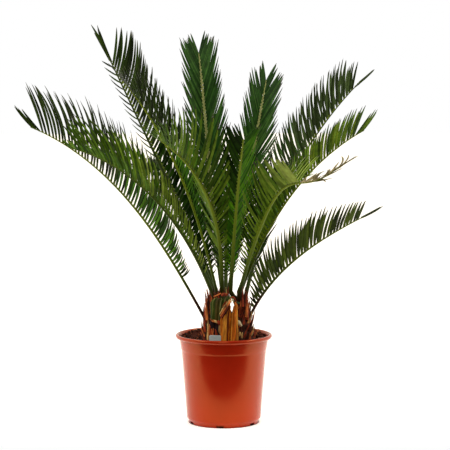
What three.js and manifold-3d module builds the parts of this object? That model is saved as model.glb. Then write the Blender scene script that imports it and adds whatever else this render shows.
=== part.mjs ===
// A young sago palm in a plastic nursery pot: pot, potting mix, a short scaly trunk with two heads,
// and a crown of feather fronds. Millimetres, +Z up, origin at the centre of the pot's underside.
// The viewer of the reference stands on the -Y side; azimuths run from +X towards +Y.
import * as THREE from 'three';
import { mergeVertices } from 'three/addons/utils/BufferGeometryUtils.js';
import Module from 'manifold-3d';

const wasm = await Module();
wasm.setup();

const GAP = 0.3;

// Pot: a blow-moulded wall with a rolled lip, a step near the top and a notched foot ring.
const POT_HEIGHT = 175;
const LIP_HEIGHT = 8.5;
// Outline of the lip from under it over the top to the mouth: [radius, height over the lip's foot].
const LIP_OUTLINE = [[91, 0.5], [94, 2], [95, 4.5], [94.2, 7.3], [92.5, 8.5], [90, 7.5], [88.5, 5.5]];
const COLLAR_TOP_RADIUS = 88;
const COLLAR_FOOT_RADIUS = 83.8;
const STEP_HEIGHT = 144.5;
const STEP_DEPTH = 0.8;
const WALL_FOOT_RADIUS = 72.8;
const WALL_FOOT_HEIGHT = 10;
const FOOT_RADIUS = 68.5;
const FOOT_BEVEL = 1;
const FOOT_FLARE_HEIGHT = 5;
const FOOT_RING_WIDTH = 7;
const WALL = 2;
const FLOOR_UNDERSIDE = 6;
const FLOOR_TOP = 8.5;
const FLOOR_CORNER = 4;
const BOSS_RADIUS = 22;
const NOTCH_COUNT = 6;
const NOTCH_WIDTH = 15;
const NOTCH_HEIGHT = 5;
const NOTCH_FIRST_AZIMUTH = 264;
const DRAIN_COUNT = 6;
const DRAIN_RADIUS = 5;
const DRAIN_RING_RADIUS = 44;
const DRAIN_SIDES = 12;
const POT_SIDES = 40;

// Potting mix: it fills the pot to ten millimetres under the lip, and stands a little higher at the wall.
const SOIL_TOP = 165;
const SOIL_EDGE_RISE = 5;
const SOIL_FLAT_RADIUS = 70;
const SOIL_INSET = WALL + 2 * GAP;

// Label: a blank plastic slip pushed into the mix behind the front of the lip.
const LABEL_SIZE = new THREE.Vector3(23, 1.2, 34);
const LABEL_PLACE = new THREE.Vector3(-17, -52, 147);
const LABEL_LEAN = 8;

// Trunk: one swollen foot with a flat cut on the mix, and two heads that carry the fronds.
const TRUNK_X = 8;
const TRUNK_FOOT = SOIL_TOP + GAP;
const TRUNK_PROFILE = [[44, 0], [42, 7], [37, 22], [32, 38], [25, 46], [12, 50]];
const HEADS = {
  main: { x: -9, y: 0, profile: [[22, 30], [22, 66], [20, 82], [13, 91], [6, 95]] },
  side: { x: 33, y: -1, profile: [[18, 34], [15, 50], [12, 66], [9, 80], [6, 88], [3, 91]] },
};
const TRUNK_SIDES = 16;
// The trunk's foot is wider from side to side than from front to back.
const TRUNK_STRETCH = 1.22;

// Sockets: short stubs of the trunk under the frond stalks, and the free space round each stalk above them.
const SOCKET_DEPTH = 26;
const SOCKET_GROWTH = 1.2;
const STALK_FREEDOM = 2.2;
const CLEARED_LENGTH = 60;

// Woody leaf bases on the foot, in a spiral, and pointed scales round both heads.
const BASE_COUNT = 24;
const BASE_LOW = 8;
const BASE_HIGH = 44;
const BASE_LENGTH = 24;
const BASE_WIDTH = 17;
const BASE_THICKNESS = 8;
const BASE_LEAN = 24;
const SCALE_SHOULDER = 0.55;
const SCALE_SHOULDER_WIDTH = 0.95;
const GOLDEN_ANGLE = 137.5;
const HEAD_SCALES = [
  { head: 'main', count: 9, height: 48, radius: 20, length: 27, width: 14, thickness: 6, lean: 12, turn: 10 },
  { head: 'main', count: 10, height: 64, radius: 19, length: 33, width: 11, thickness: 5, lean: 15, turn: 30 },
  { head: 'side', count: 6, height: 50, radius: 12, length: 26, width: 11, thickness: 6, lean: 14, turn: 0 },
  { head: 'side', count: 7, height: 64, radius: 11, length: 30, width: 8, thickness: 4, lean: 20, turn: 25 },
];

// Pieces that stand out in front of the trunk: a cut green leaf stalk, and the split fibrous bases.
const FRONT_PIECES = {
  green_leaf_base: { foot: [-15, -36, 206], lean: -6, azimuth: 262, length: 47, width: 20, thickness: 5,
    taper: 1.3, colour: '#3e3e16' },
  split_base_left: { foot: [1, -45, 168], lean: -4, azimuth: 270, length: 48, width: 15, thickness: 5,
    taper: 1, colour: '#84400f' },
  split_base_right: { foot: [18.5, -44, 168], lean: -4, azimuth: 272, length: 55, width: 18, thickness: 5,
    taper: 0.9, colour: '#93501b' },
};

// Fronds. azimuth: at the foot and at the tip; rise: angle above level at the foot, the middle and the tip;
// roll: turn of the whole blade about its rib; leaf: length of the longest leaflet; rows: the share of that
// length in each row; open: degrees added to the angle between leaflet and rib, and tipOpen those added to
// each row at the tip; lifts: angle of the rows above the blade's plane, and at the tip; bare: share of the rib
// with no leaflets; full: share of the leafy part after which the leaflets have their full length; short: share
// from which they get shorter again, down to tipLeaf of that length; end: length and angle of the last pair;
// sag: a dip in the rib's rise; wither: share of the rib from which it is withered.
const FRONDS = {
  frond_01: { foot: [-41, -6, 214], azimuth: [187, 189], rise: [61.4, 50.9, 22.5], length: 508, leaf: 136,
    open: 14, tipOpen: [6, 6], lifts: [42, 62], tipLeaf: 0.68, short: 0.62, end: [56, 28], bare: 0.16,
    full: 0.5, roll: -4 },
  frond_02: { foot: [-20, -16, 250], azimuth: [212, 205], rise: [66.4, 46.5, 15], length: 442, leaf: 104,
    rows: [1, 0.42], open: 2, tipOpen: [8, 8], lifts: [60, 60], tipLeaf: 0.4, full: 0.66, end: [22, 34],
    roll: -20 },
  frond_03: { foot: [-14, 10, 262], azimuth: [175, 169], rise: [66.8, 64.4, 64.5], length: 514, leaf: 114,
    rows: [0.74, 1], open: 7, tipOpen: [0, -5], tipLeaf: 0.6, end: [62, 3], roll: 84 },
  frond_04: { foot: [-15, -3, 264], azimuth: [190, 195], rise: [77, 67, 49.5], length: 451, leaf: 100 },
  frond_05: { foot: [-4, 11, 265], azimuth: [118, 109], rise: [72.8, 77.7, 71.1], length: 474, leaf: 104,
    tipOpen: [-10, -18], short: 0.84, roll: -20 },
  frond_06: { foot: [10, 9, 262], azimuth: [59, 64], rise: [70.7, 68.7, 66.7], length: 438, leaf: 92,
    tipOpen: [-9, -14], short: 0.8, roll: 26 },
  frond_07: { foot: [29, 9, 258], azimuth: [28, 24], rise: [65.7, 57.7, 41], length: 500, leaf: 102,
    open: 14, tipOpen: [-3, -3], lifts: [45, 40], tipLeaf: 0.5, short: 0.8, end: [42, -6], roll: -22 },
  frond_08: { foot: [33.5, -2, 258], azimuth: [348, 345], rise: [70.4, 54.4, 29], length: 410, leaf: 72,
    open: 12, tipOpen: [4, 4], lifts: [45, 40], tipLeaf: 0.6, short: 0.9, end: [54, 30], roll: 9 },
  frond_09: { foot: [30, -14, 254], azimuth: [298, 316], rise: [63.8, 53, 30.7], length: 423, leaf: 94,
    sag: { place: 0.741, width: 0.14, angle: 37.4 }, wither: 0.74 },
  frond_10: { foot: [49, -6, 206], azimuth: [345, 345], rise: [66, 39.6, 27.5], length: 318, leaf: 79,
    open: 12, tipOpen: [2, 2], lifts: [50, 45], tipLeaf: 0.55, short: 0.5, end: [42, 3], bare: 0.07,
    full: 0.2, roll: 10 },
  frond_11: { foot: [13, -13, 262], azimuth: [280, 277], rise: [71.2, 63, 47.6], length: 346, leaf: 84 },
  frond_12: { foot: [-4, -14, 264], azimuth: [271, 212], rise: [73.4, 55.2, 31.9], length: 378, leaf: 108 },
  frond_13: { foot: [-14, 25, 246], azimuth: [120, 116], rise: [50, 38, 14], length: 420, leaf: 98 },
  frond_14: { foot: [4, 24, 246], azimuth: [90, 88], rise: [50, 34, 8], length: 430, leaf: 98 },
  frond_15: { foot: [42, 17, 244], azimuth: [72, 68], rise: [50, 35, 8], length: 400, leaf: 95 },
  frond_16: { foot: [-21, 15, 250], azimuth: [152, 148], rise: [68, 46, 22], length: 390, leaf: 90,
    bare: 0.36 },
};

// Rib of a frond: a flat-topped bar that narrows to the tip. Leaflets stand on it in two rows in a V.
const RIB_WIDTH = [8.5, 2.2];
const RIB_HEIGHT = [6.5, 1.8];
const RIB_UNDERSIDE = 0.6;
const STALK_SHARE = 0.1;
const STALK_STEPS = 2;
const LEAFLET_SPACING = 20.5;
const LEAFLET_SHARE = 0.52;
const LEAFLET_BREADTH = 0.72;
const LEAFLET_THICKNESS = 1.2;
const LEAFLET_BEND = 0.56;
const LEAFLET_FORWARD = 0.2;
const ROW_LIFTS = [45, 12];
const ANGLE_AT_STALK = 66;
const ANGLE_AT_TIP = 29;
const LEAFLET_AT_STALK = 0.2;
const LEAFLET_AT_TIP = 0.5;
const SHORTEST_LEAFLET = 16;
const CLEARANCE = 0.8;
const SPHERE_SPACING = 4;
const SHORTER_TRIES = [1, 0.8, 0.62];
const FULL_LENGTH_REACH = 0.42;
const SHORTENED_REACH = 0.8;
const FLATTENED_REACH = 0.72;
const TIP_REACH = 0.8;
// The last pair of leaflets is the one whose reach is within this many pairs of the tip.
const LAST_PAIR = 1.5;
// A sagging frond's leaflets spread and get shorter between this share of the rib and its withered part.
const SAG_REACH = 0.42;
const SAG_OPEN = 45;
const SAG_LEAF = 0.8;
const WITHERED_LEAFLET = { length: 36, angle: 18 };
const ROLL_REACH = 0.25;
const CURVE_STEPS = 96;

const COLOURS = {
  pot: '#b65437', soil: '#4c2c1a', trunk: '#6b3a1c', label: '#b9c2c9', frond: '#43522f',
};

const radians = THREE.MathUtils.degToRad;
const { lerp, smoothstep } = THREE.MathUtils;

function pointAt(azimuth, radius, z, x = 0, y = 0) {
  const angle = radians(azimuth);
  return new THREE.Vector3(x + radius * Math.cos(angle), y + radius * Math.sin(angle), z);
}

// Solids: a geometry is turned into a solid for a cut or a join, and back.
function toSolid(geometry) {
  const bare = geometry.clone();
  bare.deleteAttribute('normal');
  bare.deleteAttribute('uv');
  const merged = mergeVertices(bare, 1e-4);
  const triVerts = Uint32Array.from(merged.index.array);
  const vertProperties = Float32Array.from(merged.attributes.position.array);
  return new wasm.Manifold(new wasm.Mesh({ numProp: 3, vertProperties, triVerts }));
}

function toGeometry(solid) {
  const mesh = solid.getMesh();
  const geometry = new THREE.BufferGeometry();
  geometry.setAttribute('position', new THREE.BufferAttribute(mesh.vertProperties, 3));
  geometry.setIndex(new THREE.BufferAttribute(mesh.triVerts, 1));
  geometry.computeVertexNormals();
  return geometry;
}

function largestPiece(solid) {
  return solid.decompose().reduce((best, piece) => (piece.volume() > best.volume() ? piece : best));
}

// A closed lathe about the Z axis from [radius, height] pairs, which start and end on the axis or close.
function turned(profile, sides) {
  const points = profile.map(([radius, height]) => new THREE.Vector2(radius, height));
  return new THREE.LatheGeometry(points, sides).rotateX(Math.PI / 2);
}

function potWallRadius(height) {
  if (height >= STEP_HEIGHT) {
    const share = (height - STEP_HEIGHT) / (POT_HEIGHT - LIP_HEIGHT - STEP_HEIGHT);
    return lerp(COLLAR_FOOT_RADIUS, COLLAR_TOP_RADIUS, share);
  }
  const share = (height - WALL_FOOT_HEIGHT) / (STEP_HEIGHT - WALL_FOOT_HEIGHT);
  return lerp(WALL_FOOT_RADIUS, COLLAR_FOOT_RADIUS - STEP_DEPTH, share);
}

function potGeometry() {
  const lipFoot = POT_HEIGHT - LIP_HEIGHT;
  const stepFoot = STEP_HEIGHT - STEP_DEPTH;
  const ringInside = FOOT_RADIUS - FOOT_RING_WIDTH;
  const outside = [
    [0, 0], [BOSS_RADIUS - FOOT_BEVEL, 0], [BOSS_RADIUS, FLOOR_UNDERSIDE],
    [ringInside - FOOT_BEVEL, FLOOR_UNDERSIDE], [ringInside, 0],
    [FOOT_RADIUS - FOOT_BEVEL, 0], [FOOT_RADIUS, FOOT_BEVEL], [FOOT_RADIUS + FOOT_BEVEL, FOOT_FLARE_HEIGHT],
    [WALL_FOOT_RADIUS, WALL_FOOT_HEIGHT],
    [potWallRadius(stepFoot), stepFoot], [COLLAR_FOOT_RADIUS, STEP_HEIGHT + STEP_DEPTH],
    [potWallRadius(lipFoot), lipFoot],
  ];
  const lip = LIP_OUTLINE.map(([radius, height]) => [radius, lipFoot + height]);
  const inside = [
    [potWallRadius(lipFoot) - WALL, lipFoot - STEP_DEPTH],
    [COLLAR_FOOT_RADIUS - WALL, STEP_HEIGHT + STEP_DEPTH],
    [potWallRadius(stepFoot) - WALL, stepFoot], [WALL_FOOT_RADIUS - WALL, WALL_FOOT_HEIGHT + WALL],
    [WALL_FOOT_RADIUS - WALL - FLOOR_CORNER, FLOOR_TOP], [0, FLOOR_TOP],
  ];
  let pot = toSolid(turned([...outside, ...lip, ...inside], POT_SIDES));
  const notchDepth = 2 * FOOT_RING_WIDTH;
  for (let i = 0; i < NOTCH_COUNT; i += 1) {
    const azimuth = NOTCH_FIRST_AZIMUTH + (i * 360) / NOTCH_COUNT;
    const place = pointAt(azimuth, FOOT_RADIUS, 0);
    const notch = new THREE.BoxGeometry(notchDepth, NOTCH_WIDTH, 2 * NOTCH_HEIGHT)
      .rotateZ(radians(azimuth)).translate(place.x, place.y, 0);
    pot = pot.subtract(toSolid(notch));
  }
  for (let i = 0; i < DRAIN_COUNT; i += 1) {
    const place = pointAt((i * 360) / DRAIN_COUNT, DRAIN_RING_RADIUS, FLOOR_TOP / 2);
    const drain = new THREE.CylinderGeometry(DRAIN_RADIUS, DRAIN_RADIUS, 3 * FLOOR_TOP, DRAIN_SIDES)
      .rotateX(Math.PI / 2).translate(place.x, place.y, place.z);
    pot = pot.subtract(toSolid(drain));
  }
  return toGeometry(pot);
}

function labelGeometry(grow = 0) {
  return new THREE.BoxGeometry(LABEL_SIZE.x + 2 * grow, LABEL_SIZE.y + 2 * grow, LABEL_SIZE.z + 2 * grow)
    .translate(0, 0, LABEL_SIZE.z / 2)
    .rotateX(radians(LABEL_LEAN))
    .translate(LABEL_PLACE.x, LABEL_PLACE.y, LABEL_PLACE.z);
}

function soilGeometry() {
  const edge = (height) => [potWallRadius(height) - SOIL_INSET, height];
  const profile = [
    [0, FLOOR_TOP + GAP], [WALL_FOOT_RADIUS - SOIL_INSET - FLOOR_CORNER, FLOOR_TOP + GAP],
    [WALL_FOOT_RADIUS - SOIL_INSET, WALL_FOOT_HEIGHT + SOIL_INSET],
    edge(STEP_HEIGHT - 2 * STEP_DEPTH), edge(SOIL_TOP + SOIL_EDGE_RISE),
    [SOIL_FLAT_RADIUS, SOIL_TOP], [0, SOIL_TOP],
  ];
  return toGeometry(toSolid(turned(profile, POT_SIDES)).subtract(toSolid(labelGeometry(GAP))));
}

// A closed blade along a straight or bent line: rectangular sections, each [centre, side, front, width, depth],
// that end in a flat face, or in a point where a tip is given.
function bladeGeometry(sections, tip) {
  const vertices = [];
  const faces = [];
  const quad = (a, b, c, d) => faces.push(a, b, c, a, c, d);
  const rings = sections.map(({ centre, side, front, width, depth }) =>
    [[-1, -1], [1, -1], [1, 1], [-1, 1]].map(([u, v]) => {
      const corner = centre.clone()
        .addScaledVector(side, (u * width) / 2).addScaledVector(front, (v * depth) / 2);
      return vertices.push(corner) - 1;
    }));
  quad(...rings[0].slice().reverse());
  for (let i = 0; i + 1 < rings.length; i += 1) {
    for (let k = 0; k < 4; k += 1) {
      const next = (k + 1) % 4;
      quad(rings[i][k], rings[i][next], rings[i + 1][next], rings[i + 1][k]);
    }
  }
  const last = rings[rings.length - 1];
  if (tip) {
    const point = vertices.push(tip) - 1;
    last.forEach((corner, k) => faces.push(corner, last[(k + 1) % 4], point));
  } else {
    quad(...last);
  }
  return meshGeometry(vertices, faces);
}

function meshGeometry(vertices, faces) {
  const geometry = new THREE.BufferGeometry().setFromPoints(vertices);
  geometry.setIndex(faces);
  geometry.computeVertexNormals();
  return geometry;
}

// A scale or leaf base: it leans out from a foot point along an azimuth and narrows to a point or a cut.
function scaleSections({ foot, azimuth, lean, length, width, thickness, taper = 1 }, grow = 0) {
  const out = pointAt(azimuth, 1, 0);
  const up = out.clone().multiplyScalar(Math.sin(radians(lean))).setZ(Math.cos(radians(lean)));
  const side = pointAt(azimuth + 90, 1, 0);
  const front = new THREE.Vector3().crossVectors(up, side);
  const start = new THREE.Vector3(...foot);
  const section = (share, scale) => ({
    centre: start.clone().addScaledVector(up, share * length),
    side, front, width: width * scale + 2 * grow, depth: thickness * Math.min(scale, 1) + 2 * grow,
  });
  return { start, up, section, taper, length };
}

function pointedScale(shape) {
  const { start, up, section, length } = scaleSections(shape);
  const tip = start.clone().addScaledVector(up, length);
  return bladeGeometry([section(0, 1), section(SCALE_SHOULDER, SCALE_SHOULDER_WIDTH)], tip);
}

function cutPiece(shape, grow = 0) {
  const { section, taper } = scaleSections(shape, grow);
  const reach = grow / shape.length;
  return bladeGeometry([section(-reach, 1), section(0.5, (1 + taper) / 2), section(1 + reach, taper)]);
}

function trunkGeometry(stations) {
  const rise = (profile) => profile.map(([radius, height]) => [radius, height + TRUNK_FOOT]);
  const core = (profile) => {
    const outline = rise(profile);
    return turned([[0, outline[0][1]], ...outline, [0, outline[outline.length - 1][1] + 1]], TRUNK_SIDES);
  };
  let trunk = toSolid(core(TRUNK_PROFILE).scale(TRUNK_STRETCH, 1, 1).translate(TRUNK_X, 0, 0));
  Object.values(HEADS).forEach(({ x, y, profile }) => {
    trunk = trunk.add(toSolid(core(profile).translate(x, y, 0)));
  });
  trunkScales().forEach((shape) => {
    trunk = trunk.add(toSolid(pointedScale(shape)));
  });
  Object.values(stations).forEach((frond) => {
    trunk = trunk.add(toSolid(socketGeometry(frond)));
  });
  Object.values(FRONT_PIECES).forEach((shape) => {
    trunk = trunk.subtract(toSolid(cutPiece(shape, GAP)));
  });
  Object.values(stations).forEach((frond) => {
    trunk = trunk.subtract(toSolid(stalkClearance(frond)));
  });
  const ground = new THREE.BoxGeometry(400, 400, 400).translate(0, 0, TRUNK_FOOT - 200);
  return toGeometry(largestPiece(trunk.subtract(toSolid(ground))));
}

function profileRadius(profile, height) {
  const upper = profile.findIndex(([, z]) => z >= height);
  if (upper <= 0) {
    return profile[Math.max(upper, 0)][0];
  }
  const [r0, z0] = profile[upper - 1];
  const [r1, z1] = profile[upper];
  return lerp(r0, r1, (height - z0) / (z1 - z0));
}

function trunkScales() {
  const scales = [];
  for (let i = 0; i < BASE_COUNT; i += 1) {
    const height = lerp(BASE_LOW, BASE_HIGH, i / (BASE_COUNT - 1));
    const azimuth = i * GOLDEN_ANGLE;
    const radius = profileRadius(TRUNK_PROFILE, height) - BASE_THICKNESS / 2;
    const foot = pointAt(azimuth, radius, TRUNK_FOOT + height - BASE_LENGTH / 4);
    scales.push({
      foot: [TRUNK_X + foot.x * TRUNK_STRETCH, foot.y, foot.z],
      azimuth, lean: BASE_LEAN, length: BASE_LENGTH, width: BASE_WIDTH, thickness: BASE_THICKNESS,
    });
  }
  HEAD_SCALES.forEach(({ head, count, height, radius, turn, ...shape }) => {
    const { x, y } = HEADS[head];
    for (let i = 0; i < count; i += 1) {
      const azimuth = turn + (i * 360) / count;
      scales.push({ ...shape, foot: pointAt(azimuth, radius, TRUNK_FOOT + height, x, y).toArray(), azimuth });
    }
  });
  return scales;
}

// Frond: the rib's line is walked from its foot by its azimuth and its rise.
function riseAt({ rise: [foot, middle, tip], sag }, share) {
  const smooth = foot * (1 - share) * (1 - 2 * share) + 4 * middle * share * (1 - share)
    + tip * share * (2 * share - 1);
  return sag ? smooth - sag.angle * Math.exp(-(((share - sag.place) / sag.width) ** 2)) : smooth;
}

function frameAt(frond, share) {
  const azimuth = radians(lerp(...frond.azimuth, share));
  const rise = radians(riseAt(frond, share));
  const along = new THREE.Vector3(
    Math.cos(rise) * Math.cos(azimuth), Math.cos(rise) * Math.sin(azimuth), Math.sin(rise));
  const upper = new THREE.Vector3(
    -Math.sin(rise) * Math.cos(azimuth), -Math.sin(rise) * Math.sin(azimuth), Math.cos(rise));
  upper.applyAxisAngle(along, radians(frond.roll ?? 0) * smoothstep(share, 0, ROLL_REACH));
  return { along, upper, side: new THREE.Vector3().crossVectors(along, upper) };
}

function ribLine(frond) {
  const points = [new THREE.Vector3(...frond.foot)];
  for (let i = 0; i < CURVE_STEPS; i += 1) {
    const { along } = frameAt(frond, (i + 0.5) / CURVE_STEPS);
    points.push(points[i].clone().addScaledVector(along, frond.length / CURVE_STEPS));
  }
  return points;
}

function stationAt(frond, line, share) {
  const place = share * CURVE_STEPS;
  const step = Math.min(Math.floor(place), CURVE_STEPS - 1);
  return {
    share, ...frameAt(frond, share),
    centre: line[step].clone().lerp(line[step + 1], place - step),
    width: lerp(...RIB_WIDTH, share), height: lerp(...RIB_HEIGHT, share),
  };
}

// Stations along the rib: a few on the bare stalk, then one at each edge of each leaflet.
function frondStations(frond) {
  const line = ribLine(frond);
  const { bare = STALK_SHARE } = frond;
  const shares = [];
  for (let i = 0; i < STALK_STEPS; i += 1) {
    shares.push((bare * i) / STALK_STEPS);
  }
  const count = Math.round((frond.length * (1 - bare)) / LEAFLET_SPACING);
  const pitch = (1 - bare) / count;
  const leafletStations = [];
  for (let i = 0; i < count; i += 1) {
    leafletStations.push(shares.length);
    shares.push(bare + i * pitch, bare + (i + LEAFLET_SHARE) * pitch);
  }
  shares.push(1);
  return { ...frond, bare, count, pitch: pitch * frond.length, leafletStations,
    stations: shares.map((share) => stationAt(frond, line, share)) };
}

function ribCorners({ centre, side, upper, width, height }, grow = 0) {
  const half = width / 2 + grow;
  const corner = (u, v) => centre.clone().addScaledVector(side, u).addScaledVector(upper, v);
  const top = height / 2 + grow;
  const low = half * RIB_UNDERSIDE + grow / 2;
  return [corner(-half, top), corner(half, top), corner(low, -top), corner(-low, -top)];
}

// A leaflet as five points' worth of shape: its root on the rib's side, a bend and a tip.
function leafletShape(frond, station, next, row) {
  const { lifts = ROW_LIFTS } = frond;
  const reach = (station.share - frond.bare) / (1 - frond.bare);
  const measures = leafletMeasures(frond, station.share, reach, row > 0 ? 0 : 1);
  const angle = radians(measures.angle);
  const lift = radians(lerp(...lifts, smoothstep(reach, FLATTENED_REACH, 1)));
  const across = station.side.clone().multiplyScalar(row * Math.cos(lift))
    .addScaledVector(station.upper, Math.sin(lift));
  const out = station.along.clone().multiplyScalar(Math.cos(angle)).addScaledVector(across, Math.sin(angle));
  const forward = out.clone().addScaledVector(station.along, LEAFLET_FORWARD).normalize();
  const root = station.centre.clone().lerp(next.centre, 0.5)
    .addScaledVector(station.side, (row * station.width) / 2.4);
  return { out, forward, root, length: measures.length, row, along: station.along,
    breadth: LEAFLET_BREADTH * frond.pitch * Math.max(Math.sin(angle), 0.4) };
}

// Length of a leaflet and its angle to the rib, in degrees.
function leafletMeasures(frond, share, reach, side) {
  const { leaf, count, end, sag, wither, open = 0, tipOpen = [0, 0], rows = [1, 1] } = frond;
  if (wither && share > wither) {
    return WITHERED_LEAFLET;
  }
  if (end && reach > 1 - LAST_PAIR / count) {
    return { length: end[0], angle: end[1] };
  }
  const bent = sag ? smoothstep(share, SAG_REACH, wither) : 0;
  const spread = open + tipOpen[side] * smoothstep(reach, TIP_REACH, 1) + SAG_OPEN * bent;
  return {
    length: leaf * rows[side] * lerp(1, SAG_LEAF, bent) * leafletGrowth(frond, reach),
    angle: lerp(ANGLE_AT_STALK, ANGLE_AT_TIP, Math.sqrt(reach)) + spread,
  };
}

// Short spines at the stalk, then the full length, and about half of it at the tip.
function leafletGrowth({ full = FULL_LENGTH_REACH, short = SHORTENED_REACH, tipLeaf = LEAFLET_AT_TIP }, reach) {
  return lerp(LEAFLET_AT_STALK, 1, smoothstep(reach, 0, full)) * lerp(1, tipLeaf, smoothstep(reach, short, 1));
}

function leafletSpheres({ root, out, forward, breadth }, length) {
  const bend = root.clone().addScaledVector(out, LEAFLET_BEND * length);
  const tip = bend.clone().addScaledVector(forward, (1 - LEAFLET_BEND) * length);
  const spheres = [];
  const steps = Math.ceil(length / SPHERE_SPACING);
  for (let i = 1; i <= steps; i += 1) {
    const share = i / steps;
    const centre = share < LEAFLET_BEND
      ? root.clone().lerp(bend, share / LEAFLET_BEND)
      : bend.clone().lerp(tip, (share - LEAFLET_BEND) / (1 - LEAFLET_BEND));
    const radius = share < LEAFLET_BEND ? breadth / 2 : (breadth / 2) * (1 - share) / (1 - LEAFLET_BEND);
    spheres.push({ centre, radius: Math.max(radius, 1) });
  }
  return spheres;
}

function isClear(spheres, obstacles, owner) {
  return spheres.every(({ centre, radius }) => obstacles.every((other) => other.owner === owner
    || centre.distanceToSquared(other.centre) > (radius + other.radius + CLEARANCE) ** 2));
}

function ribSpheres(frond, owner) {
  return frond.stations.flatMap((station, i) => {
    const next = frond.stations[i + 1];
    if (!next) {
      return [];
    }
    const steps = Math.ceil(station.centre.distanceTo(next.centre) / SPHERE_SPACING);
    return Array.from({ length: steps }, (_, k) => ({
      owner, centre: station.centre.clone().lerp(next.centre, k / steps), radius: station.width / 2,
    }));
  });
}

function scaleSpheres() {
  return [...trunkScales(), ...Object.values(FRONT_PIECES)].flatMap((shape) => {
    const { start, up, length } = scaleSections(shape);
    return [0.25, 0.5, 0.75, 1].map((share) => ({
      owner: 'trunk', centre: start.clone().addScaledVector(up, share * length), radius: shape.width / 2,
    }));
  });
}

// Leaflets are chosen from the stalks outwards on all fronds at once. One that would come too near
// another frond is shortened, and left out where that isn't enough.
function chooseLeaflets(fronds) {
  const obstacles = [...scaleSpheres()];
  Object.entries(fronds).forEach(([name, frond]) => obstacles.push(...ribSpheres(frond, name)));
  const chosen = Object.fromEntries(Object.keys(fronds).map((name) => [name, new Map()]));
  const most = Math.max(...Object.values(fronds).map((frond) => frond.leafletStations.length));
  for (let index = 0; index < most; index += 1) {
    Object.entries(fronds).forEach(([name, frond]) => {
      const at = frond.leafletStations[index];
      if (at === undefined) {
        return;
      }
      [1, -1].forEach((row) => {
        const leaflet = leafletShape(frond, frond.stations[at], frond.stations[at + 1], row);
        const length = SHORTER_TRIES.map((share) => share * leaflet.length)
          .find((tried) => tried >= SHORTEST_LEAFLET
            && isClear(leafletSpheres(leaflet, tried), obstacles, name));
        if (!length) {
          return;
        }
        chosen[name].set(`${at}:${row}`, { ...leaflet, length });
        leafletSpheres(leaflet, length).forEach((sphere) => obstacles.push({ ...sphere, owner: name }));
      });
    });
  }
  return chosen;
}

// The mesh of a frond: four long faces and two ends, with a leaflet grown out of each side face it stands on.
function frondGeometry(frond, leaflets) {
  const vertices = [];
  const faces = [];
  const add = (point) => vertices.push(point) - 1;
  const quad = (a, b, c, d) => faces.push(a, b, c, a, c, d);
  const rings = frond.stations.map((station) => ribCorners(station).map(add));
  const grow = (root, leaflet) => {
    const bend = leaflet.root.clone().addScaledVector(leaflet.out, LEAFLET_BEND * leaflet.length);
    const breadthways = leaflet.along.clone()
      .addScaledVector(leaflet.out, -leaflet.along.dot(leaflet.out)).normalize();
    const depthways = new THREE.Vector3().crossVectors(leaflet.out, breadthways).multiplyScalar(leaflet.row);
    const corner = (u, v) => add(bend.clone().addScaledVector(breadthways, (u * leaflet.breadth) / 2)
      .addScaledVector(depthways, (v * LEAFLET_THICKNESS) / 2));
    const order = leaflet.row > 0 ? [[-1, -1], [1, -1], [1, 1], [-1, 1]] : [[-1, -1], [-1, 1], [1, 1], [1, -1]];
    const middle = order.map(([u, v]) => corner(u, v));
    const tip = add(bend.addScaledVector(leaflet.forward, (1 - LEAFLET_BEND) * leaflet.length));
    for (let k = 0; k < 4; k += 1) {
      const next = (k + 1) % 4;
      quad(root[k], root[next], middle[next], middle[k]);
      faces.push(middle[k], middle[next], tip);
    }
  };
  for (let i = 0; i + 1 < rings.length; i += 1) {
    const [topLeft, topRight, lowRight, lowLeft] = rings[i];
    const [nextTopLeft, nextTopRight, nextLowRight, nextLowLeft] = rings[i + 1];
    quad(topLeft, topRight, nextTopRight, nextTopLeft);
    quad(lowLeft, nextLowLeft, nextLowRight, lowRight);
    const rows = {
      1: [lowRight, nextLowRight, nextTopRight, topRight],
      '-1': [lowLeft, topLeft, nextTopLeft, nextLowLeft],
    };
    Object.entries(rows).forEach(([row, face]) => {
      const leaflet = leaflets.get(`${i}:${row}`);
      if (leaflet) {
        grow(face, leaflet);
      } else {
        quad(...face);
      }
    });
  }
  const [topLeft, topRight, lowRight, lowLeft] = rings[0];
  quad(lowLeft, lowRight, topRight, topLeft);
  const [endTopLeft, endTopRight, endLowRight, endLowLeft] = rings[rings.length - 1];
  quad(endLowLeft, endTopLeft, endTopRight, endLowRight);
  return meshGeometry(vertices, faces);
}

// The socket is the trunk's own stub under a frond's foot; the clearance keeps the stalk free of the trunk.
function stalkBlade(frond, from, to, grow) {
  const { centre, along, side, upper, width, height } = frond.stations[0];
  const section = (distance) => ({
    centre: centre.clone().addScaledVector(along, distance), side: upper, front: side,
    width: height + 2 * grow, depth: width + 2 * grow,
  });
  return bladeGeometry([section(from), section(to)]);
}

function socketGeometry(frond) {
  return stalkBlade(frond, -SOCKET_DEPTH, 0, SOCKET_GROWTH);
}

function stalkClearance(frond) {
  return stalkBlade(frond, -GAP, CLEARED_LENGTH, STALK_FREEDOM);
}

const palm = new THREE.Group();

function addPart(name, geometry, colour, roughness) {
  const part = new THREE.Mesh(geometry, new THREE.MeshStandardMaterial({ color: colour, roughness }));
  part.name = name;
  palm.add(part);
}

const fronds = Object.fromEntries(Object.entries(FRONDS).map(([name, frond]) => [name, frondStations(frond)]));
const leaflets = chooseLeaflets(fronds);

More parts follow.
